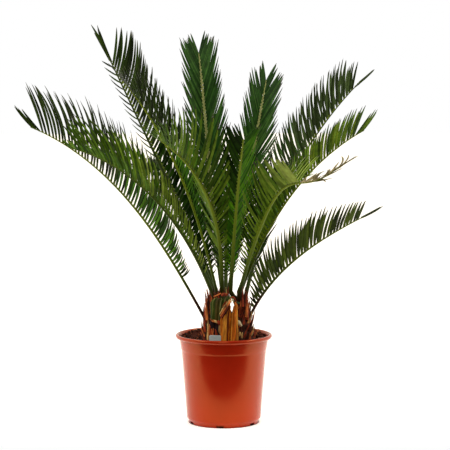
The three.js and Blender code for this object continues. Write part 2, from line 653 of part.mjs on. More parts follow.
addPart('pot', potGeometry(), COLOURS.pot, 0.35);
addPart('soil', soilGeometry(), COLOURS.soil, 0.95);
addPart('label', labelGeometry(), COLOURS.label, 0.5);
addPart('trunk', trunkGeometry(fronds), COLOURS.trunk, 0.9);
Object.entries(FRONT_PIECES).forEach(([name, shape]) => {
  addPart(name, cutPiece(shape), shape.colour, 0.85);
});
Object.entries(fronds).forEach(([name, frond]) => {
  addPart(name, frondGeometry(frond, leaflets[name]), COLOURS.frond, 0.5);
});

export default palm;
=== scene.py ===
import math
import random

import bpy
import numpy as np
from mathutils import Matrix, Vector, noise


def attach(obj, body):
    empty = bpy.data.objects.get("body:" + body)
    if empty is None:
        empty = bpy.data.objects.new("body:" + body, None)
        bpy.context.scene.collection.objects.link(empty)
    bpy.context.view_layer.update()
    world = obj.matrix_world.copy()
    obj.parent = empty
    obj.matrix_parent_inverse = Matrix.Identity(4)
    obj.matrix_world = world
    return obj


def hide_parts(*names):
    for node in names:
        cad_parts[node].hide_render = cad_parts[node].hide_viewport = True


# A young sago palm in a plastic nursery pot. Lengths are in millimetres and angles in degrees unless a name
# or comment says otherwise, +Z is up, and azimuths run from +X towards +Y. The viewer stands on the -Y side.

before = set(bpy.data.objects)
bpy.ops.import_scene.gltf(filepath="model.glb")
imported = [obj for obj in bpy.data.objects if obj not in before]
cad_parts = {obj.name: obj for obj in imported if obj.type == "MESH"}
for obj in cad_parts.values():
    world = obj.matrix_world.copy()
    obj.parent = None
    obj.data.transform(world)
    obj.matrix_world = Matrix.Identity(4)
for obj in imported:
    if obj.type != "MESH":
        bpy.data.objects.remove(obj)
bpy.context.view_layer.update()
MM = 0.001

# The table ends a little in front of the pot, so that the pot's front mirrors the dark part of the room.
FLOOR_REACH = 7000
FLOOR_FRONT = -230
FLOOR_SIDES = 96
FLOOR_COLOUR = (250, 250, 250)
FLOOR_GLOW = 0.42
# The painted shade where the pot stands, from occlusion: its reach, and the openness below which it is full
# and above which it ends.
FLOOR_SHADE_REACH = 14
FLOOR_SHADE_EDGE = (0.3, 0.5)
BLACK = (0, 0, 0, 1)
WHITE = (1, 1, 1, 1)

# The room that the part mirrors, in linear colours: dark behind the viewer, and white past this edge.
ROOM_DARK = (0.13, 0.09, 0.06, 1)
ROOM_WHITE = (1.2, 1.1, 0.92, 1)
ROOM_EDGE = (0.31, 0.36)
LIGHTS = {
    "key_box": dict(place=(-300, -2200, 2600), size=1400, power=24),
    "left_box": dict(place=(-2050, -750, 2300), size=800, power=24),
    "right_box": dict(place=(2150, -150, 2400), size=800, power=24),
}
LIGHT_COLOUR = (1, 0.93, 0.82)
LIGHT_AIM = (0, 0, 400)
CAMERA_PLACE = (2.3, -3500, 715)
CAMERA_AIM = (2.3, 0, 390)
CAMERA_LENS = 143.6
CAMERA_SENSOR = 36
CAMERA_FAR_METRES = 60

# Pot.
POT_HEIGHT = 175
LIP_HEIGHT = 8.5
LIP_FOOT = POT_HEIGHT - LIP_HEIGHT
COLLAR_TOP_RADIUS = 87.6
COLLAR_FOOT_RADIUS = 84.2
STEP_HEIGHT = 144.5
STEP_DEPTH = 0.8
STEP_FOOT = STEP_HEIGHT - STEP_DEPTH
STEP_ROUNDING = (0.35, 2.4)
WALL_FOOT_RADIUS = 72.8
WALL_FOOT_HEIGHT = 10
WALL = 2
WALL_RINGS = 12
WALL_SPAN = (WALL_FOOT_HEIGHT + 4, STEP_FOOT - 1)
FLOOR_UNDERSIDE = 6
FLOOR_TOP = 8.5
FLOOR_CORNER = 4
BOSS_RADIUS = 22
FOOT_RADIUS = 68.5
FOOT_RING_INSIDE = FOOT_RADIUS - 7
# The lip: its underside as (radius, height over the lip's foot), the roll's middle radius, half sizes and
# turn in radians, and the mouth as (radius, depth).
LIP_FILLET = (1.2, 0.3)
LIP_UNDERSIDE = ((91.6, 0.6), (93.6, 1.4))
LIP_ROLL_RADIUS = 91.6
LIP_ROLL_HALVES = (3.4, 3.6)
LIP_ROLL_TURN = (-0.5, math.pi * 0.75)
LIP_ROLL_STEPS = 10
LIP_MOUTH = ((88.5, 3), (87, 5.6))
# The underside and the foot as (radius, height) pairs, from the axis out.
FOOT_OUTLINE = [
    (0, 0), (BOSS_RADIUS - 1, 0), (BOSS_RADIUS - 0.3, 0.4), (BOSS_RADIUS, FLOOR_UNDERSIDE),
    (FOOT_RING_INSIDE - 1, FLOOR_UNDERSIDE), (FOOT_RING_INSIDE, 0.3), (FOOT_RING_INSIDE + 0.5, 0),
    (FOOT_RADIUS - 1, 0), (FOOT_RADIUS - 0.2, 0.4), (FOOT_RADIUS, 1.2), (FOOT_RADIUS + 1, 5),
    (FOOT_RADIUS + 2.2, 7.6), (WALL_FOOT_RADIUS, WALL_FOOT_HEIGHT),
]
NOTCH_COUNT = 6
NOTCH_SIZE = (14, 15, 10)
NOTCH_FIRST_AZIMUTH = 264
DRAIN_COUNT = 6
DRAIN_RADIUS = 5
DRAIN_RING_RADIUS = 44
DRAIN_CUT = (-5, 2 * FLOOR_TOP)
DRAIN_SIDES = 24
POT_SIDES = 180

# Potting mix: how high it lies, where it is heaped up (from which radius or y, to which), and its lumps.
SOIL_TOP = 165
SOIL_SUNK = 1.6
SOIL_GAP = 0.6
SOIL_FOOT_CORNER = 5
SOIL_FOOT_HEIGHTS = (FLOOR_TOP + 0.3, WALL_FOOT_HEIGHT + 3)
SOIL_COLLAR_HEIGHT = STEP_HEIGHT - 2
SOIL_EDGE_RISE = 5
SOIL_EDGE_RADII = (60, 84)
SOIL_BACK_RISE = 1.15
SOIL_BACK_DEPTHS = (20, 80)
SOIL_RELIEF = 1.92
SOIL_LUMP = 17
SOIL_SMALL_LUMP = 6.5
SOIL_SMALL_SHARE = 0.6
SOIL_SMALL_SLICE = 9
SOIL_RINGS = 46
SOIL_SIDES = 150
# Crumbs: least, greatest and usual size; breadth and depth as shares of it; how often each colour comes.
CRUMB_COUNT = 900
CRUMB_SEED = 31
CRUMB_SIZES = (2, 11, 3.2)
CRUMB_LIFT = 0.08
CRUMB_BREADTHS = (0.2, 0.42)
CRUMB_DEPTHS = (0.15, 0.35)
CRUMB_ROUGHNESS = (0.8, 1.15)
CRUMB_STATIONS = ((-1, 0.5), (-0.6, 0.95), (0.1, 1.05), (0.7, 0.85), (1, 0.35))
CRUMB_RING = ((1, 0), (0.6, 0.8), (-0.6, 0.8), (-1, 0), (-0.5, -0.8), (0.5, -0.8))
CRUMB_TINTS = (4, 4, 2)

# Label: its point, and the rings through its thickness as (share of the thickness, how far the edge grows).
LABEL_SIZE = (23, 1.2, 34)
LABEL_PLACE = (-17, -52, 147)
LABEL_LEAN = 8
LABEL_CORNER = 3
LABEL_CORNER_STEPS = 5
LABEL_POINT_HALF = 3
LABEL_POINT_HEIGHT = 6
LABEL_BEND = -0.0032
LABEL_RINGS = ((-0.5, -0.25), (-0.32, 0), (0.32, 0), (0.5, -0.25))

# Trunk: one swollen foot and two heads, each a profile of [radius, height above the mix].
TRUNK_X = 8
TRUNK_FOOT = SOIL_TOP + 0.3
TRUNK_STRETCH = 1.22
TRUNK_SEED = 7
CORE_SIDES = 64
CORE_RINGS = 34
CORE_LUMP = 9
CORE_RELIEF = 1.6
FOOT_PROFILE = [[44, 0], [43, 6], [40, 16], [35, 30], [31, 40], [25, 46], [12, 50]]
HEADS = {
    "main": {"x": -11, "y": 0, "profile": [[24, 30], [24, 50], [23, 66], [20, 80], [13, 89], [6, 93]]},
    "side": {"x": 33, "y": -1, "profile": [[18, 34], [15.5, 50], [12, 66], [9, 80], [6, 88], [3, 91]]},
}

# Woody scales: the form of one, its ring as (across, forward) pairs, and its thickness and the share of
# its width that is left at its point, by where it grows.
SCALE_STATIONS = 9
SCALE_RING = ((-1, -0.1), (-0.55, 0.75), (0, 1), (0.55, 0.75), (1, -0.1), (0.5, -0.6), (-0.5, -0.6))
SCALE_TAPER = 1.7
SCALE_FOOT_BREADTH = 0.8
SCALE_BELLY = 0.4
SCALE_THINNING = 0.8
FOOT_SCALE_FORM = (5.5, 0.2)
HEAD_SCALE_FORM = (3.4, 0.02)
LOOSE_SCALE_FORM = (5, 0.05)
# Scales of the foot: they stand in a spiral, closer together at the bottom.
GOLDEN_ANGLE = 137.5
FOOT_SCALE_COUNT = 190
FOOT_SCALE_RISE = 46
FOOT_SCALE_CROWDING = 1.2
FOOT_SCALE_SUNK = 4
FOOT_SCALE_DROP = 8
FOOT_SCALE_LOWEST = -4
# Least and most of their leans, lengths, widths and curves.
FOOT_SCALE_SPANS = ((16, 38), (15, 27), (8, 14), (-30, -4))
# Rows of pointed scales round each head: [height, count, length, width].
HEAD_SCALES = {
    "main": ((32, 16, 22, 9), (42, 18, 24, 8), (50, 20, 25, 7), (58, 20, 26, 6.5), (66, 20, 25, 6),
             (74, 18, 22, 5), (82, 14, 18, 4.5)),
    "side": ((34, 12, 20, 8), (42, 13, 22, 7), (50, 14, 24, 6), (58, 14, 26, 5.5), (66, 14, 26, 5),
             (74, 12, 22, 4.5)),
}
HEAD_SCALE_SUNK = 1.5
HEAD_SCALE_SHIFT = 0.3
HEAD_SCALE_RISE = 4
HEAD_SCALE_LEANS = (2, 15)
HEAD_SCALE_SIZES = (0.7, 1.2)
HEAD_SCALE_CURVES = (-14, 14)
# The bark colours' numbers, and how often each comes.
TINTS = (0, 1, 2, 3)
FOOT_TINTS = (4, 5, 2, 0.6)
HEAD_TINTS = (3, 5, 3, 1)
# The heads stay open between each other: no scale may stand in this part of the front view, x and z.
HEAD_GAP = ((13.4, 19.4), (221, 262))
# Single scales that stand out: x, y, z, azimuth, lean, length, width, curve and the bark colour's number.
LOOSE_SCALES = (
    (-31, -33, 168, 240, -2, 40, 7, 2, 3), (-33, -26, 206, 225, 4, 42, 8, 6, 2),
    (-35, -20, 200, 225, 6, 40, 9, 4, 1), (-33, -18, 212, 215, 3, 40, 7, -4, 1),
    (-34, -12, 216, 200, 2, 44, 7, 4, 1), (-30, -16, 228, 215, 2, 30, 6, -4, 0),
    (-38, -8, 200, 200, 6, 30, 9, -4, 0), (-37, -20, 182, 220, 10, 34, 9, -8, 1),
    (-40, -16, 176, 215, 14, 28, 10, -14, 0), (46, -20, 206, 320, 8, 42, 8, 2, 1),
    (48, -14, 208, 335, 12, 40, 8, 0, 0), (44, -18, 222, 320, 4, 40, 7, 2, 1),
    (40, -20, 228, 310, 4, 42, 6, 0, 0), (48, -24, 200, 315, 30, 26, 4, -16, 3),
    (52, -16, 190, 330, 20, 36, 9, -8, 1), (44, -26, 212, 300, 10, 40, 7, 4, 2),
    (37, -24, 232, 295, 0, 40, 6, 4, 1), (50, -20, 180, 325, 16, 38, 10, -6, 0),
)

# Upright panels of overlapping fibres. left, right: the edges as (z, x) pairs; low, high: the lower and
# upper edges as (share of the width, z) pairs; depths: y at the foot and at the top; fibres: how many;
# kinds: their colours' numbers; bow: how far the middle stands forward; ragged: how uneven the top is.
PANEL_SEED = 12
PANEL_BOW = 3
PANEL_RAGGED = 3
PANEL_THICKNESS = 3.2
PANEL_ROWS = 12
FIBRE_RING = ((-1, 0), (-0.6, 0.3), (0, 0.42), (0.6, 0.3), (1, 0), (0.8, -0.5), (-0.8, -0.5))
FIBRE_BREADTHS = (0.6, 1.5)
FIBRE_DEPTHS = (-0.9, 0.9)
FIBRE_HALF = 0.6
FIBRE_BELLY = 1.2
FIBRE_WAVES = (-0.25, 0.25)
GREEN_PANELS = (
    dict(left=((207, -25.2), (232, -26.2), (244, -26.2), (252, -21.2)),
         right=((207, -6.6), (226, -4.2), (243, -1.7), (252, 2.8)),
         low=((0, 208), (1, 206)), high=((0, 243), (0.12, 249), (0.3, 253), (1, 250)),
         depths=(-37, -33), fibres=19, kinds=(0, 1, 2, 0, 2, 3, 4)),
    dict(left=((236, -4.2), (256, -6.2)), right=((236, 5.8), (248, 14.8), (256, 19.8)),
         low=((0, 236), (1, 251)), high=((0, 256), (1, 254)),
         depths=(-35, -31), fibres=8, kinds=(0, 5, 2, 4), bow=1.5),
)
SPLIT_PANELS = {
    "left": dict(left=((166, -5.2), (200, -6.7), (212, -6.4), (222, -3), (240, 9)),
                 right=((166, 9.8), (210, 12.4), (244, 14)),
                 low=((0, 165), (1, 165)), high=((0, 213), (0.3, 219), (0.7, 230), (1, 240)),
                 depths=(-48, -41), fibres=9, kinds=(0, 2, 0, 1, 4, 2, 0, 3), ragged=2),
    "right": dict(left=((166, 11), (200, 13), (222, 14), (226, 18.4), (240, 19)),
                  right=((166, 28.4), (214, 27), (236, 26.4)),
                  low=((0, 165), (1, 165)), high=((0, 224), (0.3, 238), (0.6, 240), (1, 238)),
                  depths=(-48, -41), fibres=10, kinds=(0, 2, 0, 1, 4, 2, 0, 3), ragged=2),
}
# The bark colours by number; HOLLOW_SHADE is painted shade, a near-black for the dark of a hollow.
DARK, RED, RUST, TAN, HOLLOW_SHADE, CREAM, TEAL = range(7)
SCRAP_PANELS = (
    # The first panel is painted shade: a near-black backing for the hollow behind the front scraps.
    dict(left=((166, -27), (208, -27)), right=((166, -7), (208, -8)), low=((0, 165), (1, 165)),
         high=((0, 208), (1, 208)), depths=(-39, -35), fibres=6, kinds=(HOLLOW_SHADE,), bow=1),
    dict(left=((166, -31), (208, -28)), right=((166, -22), (190, -17), (208, -24)), low=((0, 165), (1, 165)),
         high=((0, 207), (0.6, 200), (1, 186)), depths=(-42, -37), fibres=6,
         kinds=(RED, DARK, RED, RUST), bow=1, ragged=10),
    dict(left=((196, -14), (210, -27)), right=((196, -8), (210, -8)), low=((0, 205), (0.5, 203), (1, 197)),
         high=((0, 210), (1, 210)), depths=(-42, -37), fibres=6, kinds=(RUST, TAN, RED), bow=1, ragged=1),
)
# Torn bands of bark: points along the band, its width, thickness and bark colour.
BAND_STEPS = 16
BAND_SIDES = 8
BAND_END_SIZE = 0.45
BAND_ENDS = (0.08, 0.92)
SCRAP_BANDS = (
    (((-7, -47, 216), (1, -47, 228), (8, -45, 238), (14, -42, 247)), 4.2, 3, RUST),
    (((-8, -44, 220), (-1, -44, 232), (6, -43, 241), (12, -41, 248)), 3, 3, TAN),
    (((-4, -47, 213), (3, -47.5, 224), (10, -46, 236)), 4, 2, DARK),
    (((-6, -47, 212), (1, -48, 223), (9, -46.5, 234)), 1.6, 3, RED),
    (((12, -38, 240), (12.5, -39, 249), (17, -39, 254), (22, -37, 250), (24, -34, 240)), 2.4, 3, RED),
    (((14, -42, 242), (14.5, -43, 247.5), (18.5, -43, 249.5), (18.5, -42, 243)), 3.2, 4, CREAM),
    (((22, -44, 222), (22.5, -42, 232), (22.5, -38, 243)), 6, 4, RUST),
    (((25, -43, 224), (26, -41, 234), (25.5, -37, 240)), 2.5, 3, RED),
    (((21, -30, 239.5), (26, -30, 240), (31, -30, 239.5)), 5, 5, TEAL),
    (((-5, -37, 256), (1, -38, 258), (7, -37, 257)), 6.5, 4, RED),
    (((-20, -34, 253), (-13, -36, 256), (-5, -35, 260)), 3, 3, RUST),
    (((27, -43, 207), (29.5, -44, 203), (34, -43, 196)), 8, 4, CREAM),
    (((54, -30, 176), (57, -28, 184), (58, -27, 193)), 2.4, 2, TAN),
    (((48, -36, 190), (56, -34, 194)), 4, 3, DARK),
)

# Fronds. foot: where the rib leaves the trunk; azimuth: at the foot and at the tip; rise: angle above level
# at the foot, the middle and the tip; length: of the rib; roll: turn of the blade about its rib; sag: a dip
# in the rise; wither: share of the rib after which leaflets are dry. leaf: length of a full leaflet; rows:
# share of it in row 1 and in row -1; thinned: the row that lacks every other leaflet; bare: share of the rib
# with no leaflets; full: share of the leafy part after which leaflets are full length; short, tip_leaf: share
# after which they shorten, and to how much of it; end: length and angle of the last ones; open, row_open,
# tip_open: degrees added to the angle between leaflet and rib, in all, by row, and at the tip by row; lifts:
# how far the rows are folded up, at first and at the tip; curl: a leaflet's bend towards the tip; twist: its
# turn about its own line; spacing, breadth: of leaflets; stagger: shift between the rows, in spacings;
# tones, tip_tones: greens on top and underneath, near the stalk and further out; shade: share of the leafy
# part painted in the darkest greens as shade; painted_shade_row: the row that has this painted shade further
# out as well; rib: the rib's colour.
FRONDS = {
    "frond_01": dict(
        foot=(-41, -6, 214), azimuth=(187, 189), rise=(61.4, 50.9, 22.5), length=508, roll=-4, leaf=144,
        bare=0.16, full=0.5, short=0.62, tip_leaf=0.68, end=(56, 28), open=14, tip_open=(6, 6),
        lifts=(52, 66), curl=30, spacing=7.4, breadth=4.4, stagger=0, twist=-4, tones=("moss", "fresh"),
        tip_tones=("deep", "deep"), rib="yellow"),
    "frond_02": dict(
        foot=(-20, -16, 250), azimuth=(212, 205), rise=(66.4, 46.5, 15), length=442, roll=-20, leaf=104,
        rows=(1, 0.42), full=0.66, tip_leaf=0.4, end=(22, 34), open=2, tip_open=(8, 8), lifts=(60, 60),
        breadth=5, twist=-4, tones=("sheet", "olive"), tip_tones=("olive", "leafy")),
    "frond_03": dict(
        foot=(-14, 10, 262), azimuth=(175, 169), rise=(66.8, 64.4, 64.5), length=514, roll=84, leaf=114,
        rows=(0.36, 1), thinned=1, tip_leaf=0.6, end=(64, 1), open=7, row_open=(2, 0), tip_open=(0, -5),
        breadth=5.7, tones=("cool", "deep"), shade=0.5, rib="dark"),
    "frond_04": dict(
        foot=(-15, -3, 264), azimuth=(190, 195), rise=(77, 67, 49.5), length=451, leaf=100,
        tones=("vivid", "fresh"), tip_tones=("deep", "deep"), shade=0.2, rib="yellow"),
    "frond_05": dict(
        foot=(-4, 11, 265), azimuth=(118, 109), rise=(72.8, 77.7, 71.1), length=474, roll=-20, leaf=104,
        open=-5, tip_open=(-3, -9), curl=10, spacing=7, breadth=5, tones=("cool", "cool"), shade=0.4,
        rib="pale"),
    "frond_06": dict(
        foot=(10, 9, 262), azimuth=(59, 64), rise=(70.7, 68.7, 66.7), length=438, roll=26, leaf=92,
        short=0.78, open=-4, tip_open=(-6, -8), curl=10, spacing=6.8, breadth=4.9, tones=("cool", "cool"),
        shade=0.4, rib="pale"),
    "frond_07": dict(
        foot=(29, 9, 258), azimuth=(28, 24), rise=(65.7, 57.7, 41), length=500, roll=-22, leaf=96,
        end=(42, -6), open=14, tip_open=(-3, -3), lifts=(58, 54), curl=18, breadth=4.8, stagger=0, twist=-8,
        tones=("cool", "deep"), tip_tones=("grey", "grey"), shade=0.3, rib="dark"),
    "frond_08": dict(
        foot=(33.5, -2, 258), azimuth=(348, 345), rise=(70.4, 54.4, 29), length=410, roll=9, leaf=69,
        short=0.9, tip_leaf=0.6, end=(54, 30), open=12, tip_open=(4, 4), lifts=(57, 52), curl=16, spacing=7,
        breadth=4.8, stagger=0, twist=-4, tones=("olive", "bright"), rib="yellow"),
    "frond_09": dict(
        foot=(30, -14, 254), azimuth=(298, 316), rise=(63.8, 53, 30.7), length=423, leaf=94,
        sag=dict(place=0.741, width=0.14, angle=37.4), wither=0.74, breadth=3.2, tones=("olive", "olive"),
        tip_tones=("sheet", "sheet"), rib="yellow"),
    "frond_10": dict(
        foot=(49, -6, 206), azimuth=(345, 345), rise=(66, 39.6, 27.5), length=318, roll=10, leaf=75,
        bare=0.07, full=0.2, short=0.5, tip_leaf=0.55, end=(42, 3), open=12, tip_open=(2, 2), lifts=(62, 56),
        curl=12, spacing=7.6, breadth=5, stagger=0, twist=-4, tones=("moss", "moss"), rib="yellow"),
    "frond_11": dict(
        foot=(13, -13, 262), azimuth=(280, 277), rise=(71.2, 63, 47.6), length=346, leaf=84, full=0.6,
        tones=("vivid", "vivid"), painted_shade_row=1, rib="yellow"),
    "frond_12": dict(
        foot=(-4, -14, 264), azimuth=(271, 212), rise=(73.4, 55.2, 31.9), length=378, leaf=108,
        rows=(1, 1.25), open=7, spacing=7.4, breadth=4.2, tones=("leafy", "olive"), rib="yellow"),
    "frond_13": dict(
        foot=(-14, 25, 246), azimuth=(120, 116), rise=(50, 38, 14), length=420, leaf=98,
        tones=("deep", "olive"), shade=0.35),
    "frond_14": dict(
        foot=(4, 24, 246), azimuth=(90, 88), rise=(50, 34, 8), length=430, leaf=98,
        tones=("cool", "grey"), shade=0.35),
    "frond_15": dict(
        foot=(42, 17, 244), azimuth=(72, 68), rise=(50, 35, 8), length=400, leaf=95,
        tones=("fresh", "olive"), shade=0.35),
    "frond_16": dict(
        foot=(-21, 15, 250), azimuth=(152, 148), rise=(68, 46, 22), length=390, leaf=90, bare=0.36,
        tones=("deep", "grey"), shade=0.6),
}
FROND_SEED = 100

# Ribs: sizes at the foot and at the tip, and how they go on inside the trunk.
RIB_WIDTH = (8.5, 2.2)
RIB_HEIGHT = (6.5, 1.8)
RIB_TOP_SHARE = 0.8
RIB_SQUARENESS = 0.8
RIB_SIDES = 12
RIB_STEP = 5
RIB_SUNK = 34
RIB_SUNK_DROP = 1.2
RIB_SWELL = 1.7
RIB_SUNK_STEPS = 6
HIGH_FOOT = 240
ROLL_REACH = 0.25
CURVE_STEPS = 96

# Leaflets: what a frond has where it names nothing else.
STALK_SHARE = 0.1
LEAFLET_SPACING = 8
LEAFLET_BREADTH = 4.6
LEAFLET_CURL = 24
LEAFLET_TWIST = 14
LEAFLET_STAGGER = 0.25
ROW_LIFTS = (45, 12)
FULL_LENGTH_REACH = 0.42
SHORTENED_REACH = 0.8
LEAFLET_AT_TIP = 0.5

# Leaflets: what all fronds share. A reach is a share of the leafy part; SAG_REACH is one of the whole rib.
LEAFLET_ANGLES = (66, 29)
LEAFLET_AT_STALK = 0.2
ROOT_ASIDE = 0.3
ROOT_UP = 0.12
TIP_REACH = 0.8
TIP_CURL_LOSS = 0.7
CURL_MIDDLE = 0.42
DROOP = 8
DROOP_MIDDLE = 0.4
FLATTENED_REACH = 0.72
NARROW_REACH = 0.2
NARROW_BREADTH = 0.7
END_REACH = 0.945
END_CURL = -10
END_BREADTH = 0.9
SAG_REACH = 0.42
SAG_OPEN = 45
SAG_LEAF = 0.8
SAG_BREADTH = 2.5
WITHERED_LENGTHS = (26, 60)
WITHERED_ANGLES = (-6, 30)
WITHERED_BREADTH = 5
WITHERED_CURL = 34
SHORTEST_LEAFLET = 12
OBSTACLE_STEP = 6
# A leaflet that would come nearer than this to another rib is tried with these turns up and down.
CLEARANCE = 1.2
LIFT_NUDGES = (0, 9, -9, 18, -18, 27, -27)
# How much leaflets vary: shift in spacings, angles, and shares of length, curl, twist and breadth.
PAIR_SHIFT = 0.15
PAIR_ANGLE_NOISE = 1.3
ANGLE_NOISE = 0.7
LIFT_NOISE = 1.8
LENGTH_NOISE = 0.035
CURL_LEAST = 0.7
CURL_SPREAD = 0.6
TWIST_NOISE = 0.35
BREADTH_NOISE = 0.05
# Stations along a leaflet, its breadth there, and its ring as (across, up) pairs. The first sides of the
# ring are the top with its edge, and the last strips are the tip.
LEAFLET_STATIONS = (0, 0.04, 0.1, 0.2, 0.32, 0.45, 0.58, 0.7, 0.81, 0.9, 0.96, 1)
LEAFLET_OUTLINE = (0.95, 0.8, 0.88, 0.98, 1, 0.99, 0.92, 0.79, 0.62, 0.42, 0.24, 0.04)
LEAFLET_RING = ((-1, -0.16), (-0.5, 0.08), (0, 0), (0.5, 0.08), (1, -0.16), (0, -0.3))
LEAFLET_THICKNESS = 0.7
KEEL_FADE = 4
TOP_SIDES = 4
TIP_STRIPS = 2
# A frond's materials by number: three tops and three undersides, the same further out, three greens of
# painted shade, and then the tip, the foot and three dry ones.
UNDER_KIND = 3
OUTER_KIND = 6
SHADE_KIND = 12
TIP_KIND = 15
FOOT_KIND = 16
DRY_KIND = 17
# A tone's darkest green, painted as shade on the turned-down edge of every blade.
EDGE_SHADE_PICK = 2
OUTER_TONES_REACH = 0.55
TONE_NOISE = 0.05

# Colours as a screen shows them, 0 to 255. Each leaf tone has a middle, a light and a dark green.
LEAF_TOPS = {
    "deep": ((39, 57, 11), (50, 74, 17), (26, 41, 7)),
    # shade is painted shade: darker greens for leaflets deep in the crown and on a frond's shaded row.
    "shade": ((26, 52, 4), (37, 68, 9), (17, 39, 2)),
    "moss": ((61, 81, 15), (81, 102, 24), (41, 59, 9)),
    "cool": ((50, 89, 35), (68, 109, 46), (33, 68, 22)),
    "grey": ((52, 72, 33), (68, 89, 46), (39, 55, 22)),
    "fresh": ((61, 109, 13), (78, 129, 22), (41, 81, 9)),
    "vivid": ((68, 124, 4), (87, 146, 11), (44, 92, 2)),
    "leafy": ((72, 116, 20), (98, 144, 41), (41, 74, 9)),
    "olive": ((87, 122, 22), (111, 144, 39), (59, 89, 11)),
    # sheet: a pale yellow-green, partly painted light that lifts frond_09's outer leaflets out of shade.
    "sheet": ((126, 153, 52), (148, 170, 76), (98, 124, 33)),
    "bright": ((94, 129, 13), (120, 150, 26), (59, 89, 7)),
}
DRY_COLOURS = ((150, 142, 100), (172, 164, 124), (112, 106, 72))
TIP_COLOUR = (70, 74, 54)
FOOT_COLOURS = {"pale": (176, 184, 120), "leafy": (96, 116, 30)}
# Ribs: their woolly foot, the stalk, and for each kind the middle and the top; the places of these four
# colours as shares of the way between two heights.
RIB_FOOT = (50, 24, 10)
RIB_STALK = (62, 82, 18)
RIB_COLOURS = {"pale": ((70, 92, 30), (170, 178, 112)), "yellow": ((116, 140, 26), (134, 156, 30)),
               "green": ((62, 84, 14), (84, 108, 22)), "dark": ((34, 50, 14), (60, 78, 26))}
RIB_COLOUR_PLACES = (0.1, 0.17, 0.42, 0.9)
RIB_COLOUR_HEIGHTS = (200, 640)
POT_COLOUR = (165, 29, 11)
POT_GLOSS = (255, 180, 104)
# hollow is painted shade, a near-black for the dark of a hollow rather than a colour of the bark.
BARK_COLOURS = {"dark": (62, 28, 16), "red": (142, 60, 36), "rust": (192, 106, 54), "tan": (222, 158, 100),
                "hollow": (40, 24, 30), "cream": (255, 228, 160), "teal": (52, 80, 54)}
SOIL_COLOURS = {"dark": (34, 10, 4), "brown": (58, 21, 9), "light": (104, 56, 34)}
SPLIT_COLOURS = ((228, 122, 26), (206, 98, 12), (232, 142, 52), (112, 50, 12), (172, 92, 24))
GREEN_BASE_COLOURS = ((78, 98, 22), (104, 112, 48), (56, 72, 12), (136, 144, 90), (94, 84, 34), (60, 66, 14))
LABEL_COLOUR = (208, 234, 246)

# Finishes: roughness, specular level, scale of the grain, its contrast, its relief and how it is stretched.
EVEN = (1, 1, 1)
FINISHES = {
    "leaf": (0.5, 0.12, 70, 0.16, 0.25, EVEN),
    "shaded_leaf": (0.5, 0.04, 70, 0.16, 0.25, EVEN),
    "leaf_tip": (0.6, 0.3, 120, 0.2, 0.2, EVEN),
    "leaf_foot": (0.5, 0.15, 200, 0.15, 0.3, EVEN),
    "dry_leaf": (0.75, 0.2, 160, 0.25, 0.3, EVEN),
    "mix": (0.95, 0.2, 240, 0.45, 1.4, EVEN),
    "label": (0.45, 0.4, 60, 0.06, 0.2, EVEN),
    "bark": (0.8, 0.25, 130, 0.38, 1.2, (1, 1, 0.35)),
    "green_base": (0.5, 0.3, 150, 0.2, 0.5, (1, 1, 0.2)),
    "split_base": (0.7, 0.2, 170, 0.3, 1, (1, 1, 0.2)),
}
GRAIN_DETAIL = 6
MOTTLE_EDGES = (0.32, 0.68)
RIB_FINISH = dict(roughness=0.5, specular=0.15, grain=260, strength=0.6, relief=0.4)
POT_FINISH = dict(roughness=0.2, specular=0.9, clouds=9, contrast=0.05, cloud_detail=3, scuffs=34,
                  scuff_detail=8, gloss=(0.14, 0.28), waves=22, strength=0.5, relief=0.6)
# The table's roughness and specular level.
FLOOR_FINISH = (0.9, 0.1)

# The angle from which an edge is sharp, and the pieces where it is another one.
SHARP_ANGLE = 50
SHARP_ANGLES = {"nursery_pot": 40, "potting_mix": 60, "blank_label": 35, "trunk_core": 70}


# Small helpers


def linear(colour):
    """A screen colour, 0 to 255, as the linear colour of a shader."""
    shares = [part / 255 for part in colour]
    return tuple(s / 12.92 if s <= 0.04045 else ((s + 0.055) / 1.055) ** 2.4 for s in shares) + (1,)


def lerp(pair, share):
    return pair[0] + (pair[1] - pair[0]) * share


def smoothstep(value, low, high):
    share = np.clip((value - low) / (high - low), 0, 1)
    return share * share * (3 - 2 * share)


def unit(vectors):
    return vectors / np.linalg.norm(vectors, axis=-1, keepdims=True)


def full_turn(count):
    """So many angles round a circle, in radians."""
    return np.linspace(0, 2 * math.pi, count, endpoint=False)


def turned_about(vectors, axes, degrees):
    """Vectors turned about unit axes that are square to them."""
    angle = np.radians(degrees)[..., None]
    return vectors * np.cos(angle) + np.cross(axes, vectors) * np.sin(angle)


def point_at(azimuth, radius, z, x=0, y=0):
    angle = math.radians(azimuth)
    return np.array([x + radius * math.cos(angle), y + radius * math.sin(angle), z])


def level_ring(radius, z, sides, x=0, y=0):
    """Points of a level circle round (x, y)."""
    turn = full_turn(sides)
    return np.stack([x + radius * np.cos(turn), y + radius * np.sin(turn), np.full(sides, float(z))], axis=-1)


def on_line(points, places, share):
    """Points on the line through the given ones, which have these places along it."""
    return np.stack([np.interp(share, places, points[:, axis]) for axis in range(3)], axis=-1)


def side_faces(count, sides):
    """The faces between so many rings of so many points."""
    return [(low + k, low + (k + 1) % sides, low + sides + (k + 1) % sides, low + sides + k)
            for low in range(0, (count - 1) * sides, sides) for k in range(sides)]


